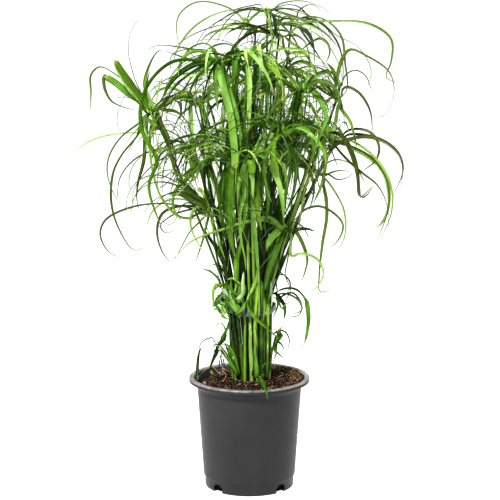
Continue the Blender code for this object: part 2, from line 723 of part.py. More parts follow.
def share_out(hub, axis, traced, count):
    """Give each traced bract a side of the crown, and return the sides left over."""
    wanted = []
    for number, leaf in enumerate(traced):
        place = leaf.places[0]
        depth = place[2] if len(place) == 3 else hub.y + leaf.drift * 0.25
        wanted.append((bearing_of(hub, axis, spot(place[0], place[1], depth)), number))
    best = None
    for offset in range(12):
        start = offset * math.tau / count / 12
        sides = [start + i * math.tau / count for i in range(count)]
        used = {}
        cost = 0.0
        for angle, number in wanted:
            free = [i for i in range(count) if i not in used]
            near = min(free, key=lambda i: abs((sides[i] - angle + math.pi) % math.tau - math.pi))
            cost += abs((sides[near] - angle + math.pi) % math.tau - math.pi)
            used[near] = number
        if best is None or cost < best[0]:
            best = (cost, start, used)
    return best[1], best[2]


def clear_of(whole, outer, placed, own):
    """Whether a bract touches nothing that is already placed."""
    for owner, other_whole, other_outer in placed:
        if owner == own:
            if outer.overlap(other_outer):
                return False
        elif whole.overlap(other_whole):
            return False
    return True


def choose_route(options, width, placed, own):
    """The first line on which the bract is clear of the rest, or None."""
    for route in options:
        whole = blade_tree(route, width, True)
        outer = blade_tree(route, width, False)
        if clear_of(whole, outer, placed, own):
            placed.append((own, blade_tree(route, width, True, 0.0),
                           blade_tree(route, width, False, 0.0)))
            return route
    return None


def traced_options(hub, leaf, toward):
    swings = (0.0, 0.006, -0.006, 0.012, -0.012, 0.020, -0.020, 0.030, -0.030, 0.042, -0.042,
              0.055, -0.055, 0.07, -0.07)
    for swing in swings:
        for bulge in (0.0, 0.010, -0.010, 0.022, -0.022):
            yield traced_route(hub, leaf, toward, swing, bulge)


def spare_options(hub, toward, chance):
    """Lines for a bract that is not traced: arching out, then hanging."""
    for _ in range(60):
        room = max(CANOPY_TOP - hub.z, 0.0)
        rise = math.radians(chance.uniform(0.45, 1.0) * min(14.0 + room * 420.0, 66.0))
        drop = math.radians(chance.uniform(35.0, 105.0))
        length = chance.uniform(0.100, 0.215)
        route = arched_route(hub, toward, length, rise, drop,
                             math.radians(chance.uniform(-75.0, 75.0)),
                             (chance.uniform(-40, 40), chance.uniform(-90, 90)))
        if inside_canopy(route):
            yield route


def inside_canopy(route):
    """Whether a line keeps to the canopy's outline in the photograph and to its depth."""
    for place in route.line[5::3] + [route.line[-1]]:
        if not table(LEFT_EDGE, place.z) < place.x < table(RIGHT_EDGE, place.z):
            return False
        if place.z > CANOPY_TOP or abs(place.y) > CANOPY_DEPTH:
            return False
    return True


def whorl_plan(hub, axis, traced, spare, own, placed, seed):
    """Lines and widths of a whorl's bracts, by the side of the crown they grow from."""
    chance = random.Random(seed)
    count = len(traced) + spare
    start, used = share_out(hub, axis, traced, count)
    plan = {}
    for side in range(count):
        toward = around(axis, start + side * math.tau / count)
        if side in used:
            leaf = traced[used[side]]
            route = choose_route(traced_options(hub, leaf, toward), leaf.width, placed, own)
            if route is not None:
                plan[side] = (route, leaf.width)
    return count, start, plan, chance


def fill_whorl(hub, axis, whorl, own, placed):
    """Add the bracts that are not traced on the sides still free."""
    count, start, plan, chance = whorl
    for side in range(count):
        if side in plan:
            continue
        toward = around(axis, start + side * math.tau / count)
        width = chance.uniform(0.0044, 0.0068)
        route = choose_route(spare_options(hub, toward, chance), width, placed, own)
        if route is not None:
            plan[side] = (route, width)


def grow_whorl(hub, axis, whorl, stalk=None):
    """One closed mesh: a crown with its bracts, and for a young shoot its stem too."""
    count, start, plan, _ = whorl
    bm = bmesh.new()
    bmesh.ops.create_cone(bm, cap_ends=True, cap_tris=False, segments=count,
                          radius1=HUB_RADIUS, radius2=HUB_RADIUS, depth=HUB_HEIGHT)
    corner = around(axis, start + math.pi / count)
    turn = Matrix((corner.cross(axis), corner, axis)).transposed().to_4x4()
    bmesh.ops.transform(bm, matrix=Matrix.Translation(hub) @ turn, verts=bm.verts)
    bm.normal_update()
    faces = list(bm.faces)
    for number, (route, width) in plan.items():
        toward = around(axis, start + number * math.tau / count)
        face = max(faces, key=lambda item: item.normal.dot(toward))
        faces.remove(face)
        grow_blade(bm, face, axis, toward, route, width)
    if stalk is not None:
        low = min(faces, key=lambda item: item.normal.dot(axis))
        grow_stalk(bm, low, stalk)
    bmesh.ops.triangulate(bm, faces=bm.faces)
    return bm


def grow_blade(bm, face, axis, toward, route, width):
    """Draw a bract out of one side of the crown, cross-section by cross-section."""
    right = axis.cross(toward)
    middle = face.calc_center_median()
    names = []
    for vert in face.verts:
        away = vert.co - middle
        if away.dot(axis) < 0:
            names.append("left" if away.dot(right) < 0 else "keel")
        else:
            names.append("right" if away.dot(right) > 0 else "fold")
    for share in blade_shares(route):
        face = bmesh.ops.extrude_discrete_faces(bm, faces=[face])["faces"][0]
        section = blade_section(route, share, width)
        for vert, name in zip(face.verts, names):
            vert.co = section[name]
    face = bmesh.ops.extrude_discrete_faces(bm, faces=[face])["faces"][0]
    bmesh.ops.pointmerge(bm, verts=list(face.verts), merge_co=route.frame(1.0)[0])


def grow_stalk(bm, face, stalk):
    """Draw a young shoot's stem out of the underside of its crown."""
    line, thick = stalk
    neck = line[-1] - crown_axis(line) * (HUB_HEIGHT * 0.5 + 0.0015)
    for place in [neck] + line[-2::-1]:
        face = bmesh.ops.extrude_discrete_faces(bm, faces=[face])["faces"][0]
        middle = face.calc_center_median()
        far = max((vert.co - middle).length for vert in face.verts)
        for vert in face.verts:
            away = (vert.co - middle) * (thick * 0.5 / far)
            away.z = 0.0
            vert.co = place + away


def mesh_object(name, bm, group, material):
    mesh = bpy.data.meshes.new(name)
    bm.to_mesh(mesh)
    bm.free()
    return new_object(name, mesh, group, material)


def crown_axis(line):
    return (line[-1] - line[-2]).normalized()


def fixed_trees(lines, radii):
    """Search trees of the pot, soil and tie as plain rings, and of the culms."""
    trees = []
    for number, (line, radius) in enumerate(zip(lines, radii)):
        top = line[-1] - crown_axis(line) * (HUB_HEIGHT * 0.5)
        trees.append((("culm", number), tube_tree(line[:-1] + [top], radius * 1.15)))
    rings = (((RIM_RADIUS + 0.001, POT_HEIGHT + 0.001), (RIM_RADIUS + 0.001, 0.149)),
             ((0.0, SOIL_TOP + 0.0006), (RIM_RADIUS, SOIL_TOP + 0.0006)),
             ((RIM_INNER_RADIUS - 0.001, POT_HEIGHT + 0.0008),
              (RIM_RADIUS + 0.001, POT_HEIGHT + 0.0008)))
    for number, ring in enumerate(rings):
        trees.append((("ring", number), ring_tree(ring, 1.0, 1.0)))
    wide = TIE_HALF_WIDTH + TIE_THICK
    band = ((1.0, TIE_HEIGHT - TIE_BAND * 0.5 - 0.001), (1.0, TIE_HEIGHT + TIE_BAND * 0.5 + 0.0055))
    trees.append((("tie", 0), ring_tree(band, wide + 0.0008,
                                        TIE_HALF_DEPTH + TIE_THICK + 0.0008)))
    return trees


def ring_tree(ring, wide, deep, steps=36):
    """A search tree of a turned strip between two (radius, height) points."""
    verts = []
    faces = []
    for step in range(steps):
        angle = step * math.tau / steps
        for radius, height in ring:
            verts.append(Vector((math.cos(angle) * radius * wide,
                                 math.sin(angle) * radius * deep, height)))
    for step in range(steps):
        a = step * 2
        b = (step + 1) % steps * 2
        faces += [(a, b, b + 1), (a, b + 1, a + 1)]
    return BVHTree.FromPolygons(verts, faces)


def plan_plant():
    """Lines of all the culms, and the whorl on each, clear of one another."""
    lines = []
    for stem in STEMS:
        waist = spot(stem.tie[0], 312.0, stem.tie[1])
        tie = inside_tie(waist.x, waist.y, stem.thick * 0.5)
        lines.append(plan_stem(stem.crown, tie, stem.path))
    for shoot in SHOOTS:
        lines.append(plan_shoot(shoot))
    radii = [item.thick * 0.5 for item in STEMS + SHOOTS]
    part_stems(lines, radii)
    placed = fixed_trees(lines, radii)
    for number, line in enumerate(lines):
        low = line[-1] - crown_axis(line) * HUB_HEIGHT * 0.5
        high = line[-1] + crown_axis(line) * HUB_HEIGHT * 0.5
        placed.append((("whorl", number), tube_tree([low, high], HUB_RADIUS + 0.0004)))
    placed = [(owner if owner[0] != "culm" or owner[1] < len(STEMS) else ("whorl", owner[1]),
               tree, tree) for owner, tree in placed]
    whorls = []
    for number, line in enumerate(lines):
        if number < len(STEMS):
            traced = TRACED.get(number + 1, ())
            spare = STEMS[number].spare
        else:
            traced = SHOOTS[number - len(STEMS)].leaves
            spare = 1
        whorls.append(whorl_plan(line[-1], crown_axis(line), traced, spare,
                                 ("whorl", number), placed, 100 + number))
    for number, line in enumerate(lines[:len(STEMS)]):
        fill_whorl(line[-1], crown_axis(line), whorls[number], ("whorl", number), placed)
    return lines, whorls


def plan_shoot(shoot):
    """A young shoot's line, from its foot in the soil to its low crown."""
    top = spot(*shoot.crown)
    foot = spot(shoot.foot[0], 378.0, shoot.foot[1])
    foot = Vector((foot.x, shoot.foot[1], KNOTS[0]))
    line = [foot]
    for level in KNOTS[1:]:
        if level < top.z - 0.020:
            line.append(foot.lerp(top, (level - foot.z) / (top.z - foot.z)))
    if len(line) == 1 and top.z - foot.z > 0.012:
        line.append(foot.lerp(top, 0.5))
    return line + [top]


def main():
    clear_scene()
    parts = collection("potted umbrella sedge")
    cutters = collection("cutters")
    plastic = finish("pot plastic", (0.065, 0.065, 0.067), 0.45)
    earth = finish("potting soil", (0.060, 0.036, 0.022), 0.95)
    strap = finish("tie strap", (0.075, 0.085, 0.110), 0.60)
    stem_green = finish("culm green", (0.160, 0.330, 0.060), 0.45)
    leaf_green = finish("bract green", (0.060, 0.190, 0.022), 0.42)
    young_green = finish("young green", (0.120, 0.280, 0.030), 0.42)

    build_pot(parts, cutters, plastic)
    build_soil(parts, earth)
    add_tie_knot(build_tie(parts, strap), cutters)
    lines, whorls = plan_plant()
    for number, (line, whorl) in enumerate(zip(lines, whorls), 1):
        hub = line[-1]
        axis = crown_axis(line)
        if number <= len(STEMS):
            thick = STEMS[number - 1].thick
            build_culm(f"culm_{number:02d}", line, thick, parts, stem_green)
            grown = grow_whorl(hub, axis, whorl)
            mesh_object(f"bracts_{number:02d}", grown, parts, leaf_green)
        else:
            shoot = SHOOTS[number - 1 - len(STEMS)]
            grown = grow_whorl(hub, axis, whorl, (line, shoot.thick))
            mesh_object(f"shoot_{number - len(STEMS):02d}", grown, parts, young_green)


main()
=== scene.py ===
"""Potted umbrella sedge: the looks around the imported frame.

Metres, +Z up. The origin is the centre of the pot's base, and the photograph looks along
+Y from 2.3 m in front of the pot. Plant parts that the photograph shows are given by
their place in it, in pixels, and by how far they lie behind the pot's axis.
"""
import math
import random
from collections import namedtuple

import bmesh
import bpy
from mathutils import Matrix, Vector, noise
from mathutils.bvhtree import BVHTree


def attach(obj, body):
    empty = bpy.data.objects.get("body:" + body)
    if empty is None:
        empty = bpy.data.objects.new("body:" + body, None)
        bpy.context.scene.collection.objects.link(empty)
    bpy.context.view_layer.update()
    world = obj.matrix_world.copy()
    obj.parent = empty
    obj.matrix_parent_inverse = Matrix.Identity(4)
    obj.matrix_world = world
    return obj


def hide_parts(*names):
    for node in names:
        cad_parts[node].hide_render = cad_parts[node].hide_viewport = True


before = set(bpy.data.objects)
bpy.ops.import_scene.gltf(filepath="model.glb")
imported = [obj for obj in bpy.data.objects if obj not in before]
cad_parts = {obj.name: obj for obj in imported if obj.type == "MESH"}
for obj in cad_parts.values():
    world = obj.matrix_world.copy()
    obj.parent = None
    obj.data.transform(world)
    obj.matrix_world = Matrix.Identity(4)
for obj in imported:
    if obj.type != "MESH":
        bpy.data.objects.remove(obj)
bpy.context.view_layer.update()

# The view of the photograph
EYE = Vector((0.0, -2.326, 0.748))
PITCH = math.radians(10.0)
FOCAL = 1694.0
AXIS_ACROSS = 249.3
MIDDLE_DOWN = 250.0
PHOTO_WIDTH = 500.0

# Pot
POT_HEIGHT = 0.157
RIM_RADIUS = 0.085
RIM_INNER_RADIUS = 0.078
RIM_LIP = 0.006
LIP_ROUND = 0.0016
WALL_TOP_RADIUS = 0.0735
WALL_TOP_HEIGHT = 0.144
WALL_FOOT_RADIUS = 0.0648
FOOT_STEP_HEIGHT = 0.0165
FOOT_RADIUS = 0.0625
WALL = 0.0018
FLOOR = 0.0022
POT_STEPS = 144
NOTCH_WIDTH = 0.0165
NOTCH_HEIGHT = 0.0115
NOTCH_DEPTH = 0.022
NOTCH_ROUND = 0.0030
NOTCH_TURNS = (45.0, 135.0, 225.0, 315.0)

# Soil
SOIL_TOP = 0.1545
SOIL_DIP = 0.0085
SOIL_RISE = 0.0024
SOIL_EDGE = 0.1500
SOIL_RINGS = 72
SOIL_STEPS = 168
GAP = 0.0003
SOIL_GAP = GAP * 1.4
SOIL_SIDES = (0.1400, FOOT_STEP_HEIGHT + 0.002, FLOOR + GAP)

# Tie
TIE_HEIGHT = 0.2555
TIE_BAND = 0.0105
TIE_THICK = 0.0012
TIE_HALF_WIDTH = 0.0345
TIE_HALF_DEPTH = 0.0315
TIE_STEPS = 120

# Culms and bracts
WAIST = 0.268
KNOTS = (0.1548, 0.205, WAIST, 0.335, 0.415, 0.500, 0.585)
CULM_CLEAR = 0.0012
FOOT_SQUEEZE = 0.68
FOOT_SHIFT = 0.0055
HUB_RADIUS = 0.0036
HUB_HEIGHT = 0.0050
BLADE_THICK = 0.0009
BLADE_CLEAR = 0.0005
CANOPY_TOP = 0.690
BLADE_SIDES = ("left", "keel", "right", "fold")
PUSH_ROUNDS = 70

# The share of a turn between one filling bract and the next
GOLDEN = 0.381966

# How far down the photograph the culms' places at the tie and the shoots' feet are read
TIE_DOWN = 312.0
FOOT_DOWN = 378.0

# How far left and right the canopy goes by height, for the bracts that are not traced
LEFT_EDGE = ((0.302, -0.034), (0.338, -0.047), (0.373, -0.067), (0.408, -0.118),
             (0.443, -0.130), (0.478, -0.143), (0.530, -0.158), (0.582, -0.145),
             (0.615, -0.110), (0.649, -0.080), (0.675, -0.045))
RIGHT_EDGE = ((0.302, 0.036), (0.338, 0.052), (0.373, 0.064), (0.408, 0.076), (0.443, 0.098),
              (0.478, 0.118), (0.513, 0.128), (0.582, 0.128), (0.620, 0.125), (0.649, 0.115),
              (0.675, 0.090))
CANOPY_DEPTH = 0.210

Stem = namedtuple("Stem", "crown thick tie path spare")
Leaf = namedtuple("Leaf", "width drift turn places")
Shoot = namedtuple("Shoot", "crown thick foot leaves")


def leaves(*rows):
    """Bracts from rows of width, drift, turn and places."""
    return tuple(Leaf(width, drift, turn, places) for width, drift, turn, *places in rows)


# crown is (across, down, depth), tie is (across, depth) where the culm passes the tie,
# path is (across, down) on the way, spare is how many bracts beside the traced ones
STEMS = (
    Stem((153, 112, -0.020), 0.0042, (226.5, 0.006), (), 3),
    Stem((220.5, 61, -0.055), 0.0062, (236.0, -0.024), ((229, 89), (234, 150), (231, 198)), 4),
    Stem((249, 63, -0.075), 0.0056, (248.0, -0.026), ((248, 120), (248, 220)), 4),
    Stem((255.5, 28, 0.060), 0.0036, (252.0, 0.012), ((254, 60),), 3),
    Stem((267, 10.5, 0.020), 0.0036, (258.0, 0.002), ((267, 60), (265, 140)), 3),
    Stem((292, 19, 0.075), 0.0036, (262.0, 0.016), (), 3),
    Stem((279, 36, -0.020), 0.0038, (263.5, -0.008), ((275, 70),), 4),
    Stem((302, 91, -0.075), 0.0046, (262.0, -0.022), (), 5),
    Stem((318, 174, -0.030), 0.0042, (270.5, -0.004), ((296, 221), (285, 260)), 3),
    Stem((239.5, 104, 0.040), 0.0048, (243.0, 0.006), (), 6),
    Stem((337, 99, 0.020), 0.0040, (268.5, 0.006), (), 4),
    Stem((335, 141, 0.080), 0.0040, (266.5, 0.020), (), 4),
    Stem((321, 130, -0.075), 0.0046, (267.5, -0.016), (), 5),
    Stem((279, 79, 0.115), 0.0040, (257.0, 0.024), (), 6),
    Stem((258, 88, 0.130), 0.0040, (248.0, 0.026), (), 6),
    Stem((252, 156, -0.105), 0.0058, (254.5, -0.025), ((252, 200),), 5),
    Stem((234, 160, -0.085), 0.0048, (241.5, -0.021), (), 5),
    Stem((205, 163, -0.050), 0.0046, (231.5, -0.014), (), 5),
    Stem((194, 147, 0.060), 0.0040, (229.5, 0.016), (), 5),
    Stem((212, 215, -0.030), 0.0040, (228.0, -0.006), (), 3),
    Stem((283, 133, -0.110), 0.0046, (258.5, -0.018), (), 5),
    Stem((287, 156, 0.105), 0.0040, (260.0, 0.022), (), 6),
    Stem((313, 149, 0.000), 0.0042, (267.5, -0.001), (), 4),
    Stem((199, 104, 0.095), 0.0040, (235.0, 0.022), (), 5),
    Stem((285, 228, -0.050), 0.0044, (264.5, -0.019), (), 3),
)

# Traced bracts of each culm, by the culm's number. The drift is how far the tip lies
# behind the crown, and the turn is that of the blade about its line, in degrees, at its
# root and at its tip
TRACED = {
    1: leaves(
        (0.0085, -0.045, (60, 90), (142, 101), (131, 89), (117, 69), (112.5, 57)),
        (0.005, 0.05, (20, 60), (131, 89), (117, 76), (100, 67), (91, 75), (91, 92), (90.4, 110)),
        (0.006, 0.085, (10, 70), (144.7, 89), (147, 71), (156, 53), (163, 49)),
        (0.0052, -0.095, (10, 80), (141.6, 122), (121, 138), (109, 158), (108, 176), (118, 200.5),
            (135.4, 213.5)),
        (0.0046, 0.06, (10, 20), (140, 133), (122.5, 155), (113.6, 173), (111.3, 200), (117, 224),
            (134, 250), (146.6, 246.5)),
        (0.0042, -0.06, (30, 60), (151, 130), (150.5, 150), (155, 180), (163.6, 201), (179, 217),
            (208, 218)),
    ),
    2: leaves(
        (0.008, -0.05, (20, 85), (193, 61), (172, 63.5), (152, 81), (142, 104), (143, 132),
            (157, 160), (149, 186), (157, 216), (164, 231)),
        (0.006, 0.05, (40, 10), (205, 54), (182, 48), (158, 45.6), (145, 51)),
    ),
    3: leaves(
        (0.01, 0.05, (85, 40), (236, 62.5), (214, 62.5), (194, 65), (173, 80), (160, 103)),
        (0.006, -0.04, (60, 60), (262, 62.5), (270, 66), (277, 74), (281, 88)),
    ),
    4: leaves(
        (0.005, -0.03, (15, 30), (236, 13), (218, 4.5), (200, 2), (187, 7), (178, 18),
            (177.4, 37.5), (187, 68)),
        (0.006, -0.09, (60, 60), (247.5, 35), (235, 47), (227, 60), (222, 78)),
    ),
    5: leaves(
        (0.0052, -0.06, (20, 70), (249, 10), (235, 14), (222.5, 27), (217, 43)),
        (0.004, 0.045, (10, 10), (256, 8), (238, 11.5), (222.5, 19), (205, 31), (194, 49)),
        (0.0036, 0.08, (10, 20), (280, 4.5), (303, 1.2), (323, 8), (333, 16)),
    ),
    6: leaves(
        (0.0056, -0.05, (30, 70), (307, 17), (325, 20.5), (341, 36), (345, 62.5), (347, 89),
            (339, 100)),
        (0.0042, 0.06, (10, 10), (317.5, 21), (337, 36), (358, 47), (371, 70), (367.5, 87.5)),
    ),
    7: leaves(
        (0.005, 0.03, (10, 80), (302, 25), (334, 22), (369, 24), (391, 39), (391, 62), (386, 77),
            (397, 83)),
    ),
    8: leaves(
        (0.006, 0.08, (40, 60), (314, 78), (326, 72), (335, 76), (339, 92)),
    ),
    9: leaves(
        (0.0062, 0.03, (60, 70), (323, 184), (326, 214), (322, 244), (319, 275), (320, 292),
            (332, 289)),
        (0.0036, -0.06, (10, 10), (331, 187), (344, 211), (344.5, 237), (337, 251)),
        (0.0046, 0.05, (50, 20), (334, 146), (350, 139), (373, 137), (396, 150), (403, 169),
            (391, 200)),
    ),
    11: leaves(
        (0.0048, -0.07, (10, 60), (342, 60), (350, 50), (366, 56), (389, 72), (394, 93),
            (386, 114), (375, 118)),
        (0.0036, 0.06, (10, 10), (346, 87), (358, 92), (369, 108), (372.7, 131.5)),
    ),
    12: leaves(
        (0.006, -0.06, (30, 80), (347, 147), (370, 159), (385, 176), (388, 210), (377, 227),
            (367.5, 211)),
    ),
    13: leaves(
        (0.0048, -0.03, (20, 70), (339, 134), (349, 150), (357, 175), (360, 197), (373, 186)),
    ),
    19: leaves(
        (0.004, 0.04, (10, 80), (172, 138), (133.5, 133), (104, 136), (84.5, 144), (73.3, 155),
            (73, 161)),
    ),
    20: leaves(
        (0.0042, 0.04, (10, 80), (189.5, 208.6), (163, 204), (129.6, 208), (105.5, 220),
            (100.2, 234), (107, 250), (121, 259)),
        (0.0056, -0.04, (60, 70), (203, 206), (193, 212), (191, 226), (199, 245), (205, 254)),
        (0.0036, 0.02, (20, 20), (207, 224), (202, 243), (195, 264)),
    ),
    25: leaves(
        (0.0042, -0.02, (10, 60), (304, 211), (322, 207), (343, 224.5), (336, 243), (328, 248)),
        (0.0052, 0.04, (60, 70), (297, 234), (307, 258), (305.5, 269), (301, 283)),
        (0.0052, 0.01, (70, 30), (296, 229.5), (308, 229), (316, 232)),
    ),
}

SHOOTS = (
    Shoot((245, 302, -0.029), 0.004, (245.0, -0.026), leaves(
        (0.0105, -0.004, (80, 85), (244.5, 294), (243.5, 284), (244, 270)),
        (0.005, -0.006, (70, 70), (249, 293), (254, 286), (259, 279)),
        (0.0056, -0.012, (70, 80), (251, 311, -0.042), (258, 320, -0.043), (266, 327, -0.043),
            (275, 335, -0.042), (280, 341, -0.041)),
    )),
    Shoot((220, 345, -0.03), 0.0034, (236.0, -0.012), leaves(
        (0.004, -0.01, (60, 70), (216, 352), (212, 361), (210, 369)),
        (0.0034, -0.03, (20, 70), (211, 338), (201, 343), (198.5, 356), (198, 370)),
        (0.0046, 0.012, (60, 60), (223, 337), (227, 329), (229.5, 319)),
    )),
    Shoot((226.5, 284, -0.01), 0.0034, (233.0, -0.01), leaves(
        (0.0036, 0.01, (20, 20), (217, 273), (208, 270), (200, 268)),
        (0.0036, -0.012, (30, 30), (220, 286), (214, 291), (213, 301), (215, 310)),
        (0.003, 0.03, (20, 20), (222, 269), (214, 265), (205, 267)),
    )),
    Shoot((275.5, 336, -0.006), 0.0034, (267.5, -0.01), leaves(
        (0.0042, 0.01, (60, 60), (279, 331), (283, 326.5)),
        (0.0032, 0.02, (10, 40), (283, 330.5), (289, 338), (288, 348), (285, 353)),
        (0.0032, -0.02, (20, 50), (276.5, 345), (276, 355), (272, 363)),
    )),
    Shoot((271.5, 294, 0.006), 0.0034, (268.5, 0.006), leaves(
        (0.0046, 0.03, (10, 80), (290, 288.5), (304.5, 297), (309, 318), (306, 340), (297, 352)),
        (0.0036, -0.03, (10, 60), (285, 294), (298, 300), (302, 310), (290, 315)),
        (0.0036, -0.01, (50, 40), (283, 306), (284.6, 314), (281, 325)),
    )),
    Shoot((258, 375, -0.024), 0.0036, (257.0, -0.022), leaves(
        (0.0056, 0.0, (20, 10), (261, 381, -0.04), (264, 386.5, -0.0697), (265.3, 389.5, -0.0865),
            (266.5, 393, -0.09), (267.5, 397.5, -0.0905), (268.5, 402, -0.0905)),
        (0.004, 0.0, (60, 70), (257, 366, -0.031), (254, 358, -0.034), (252, 350, -0.036)),
        (0.0036, 0.0, (60, 70), (262, 368, -0.034), (266, 363, -0.042), (271, 362, -0.05)),
    )),
)

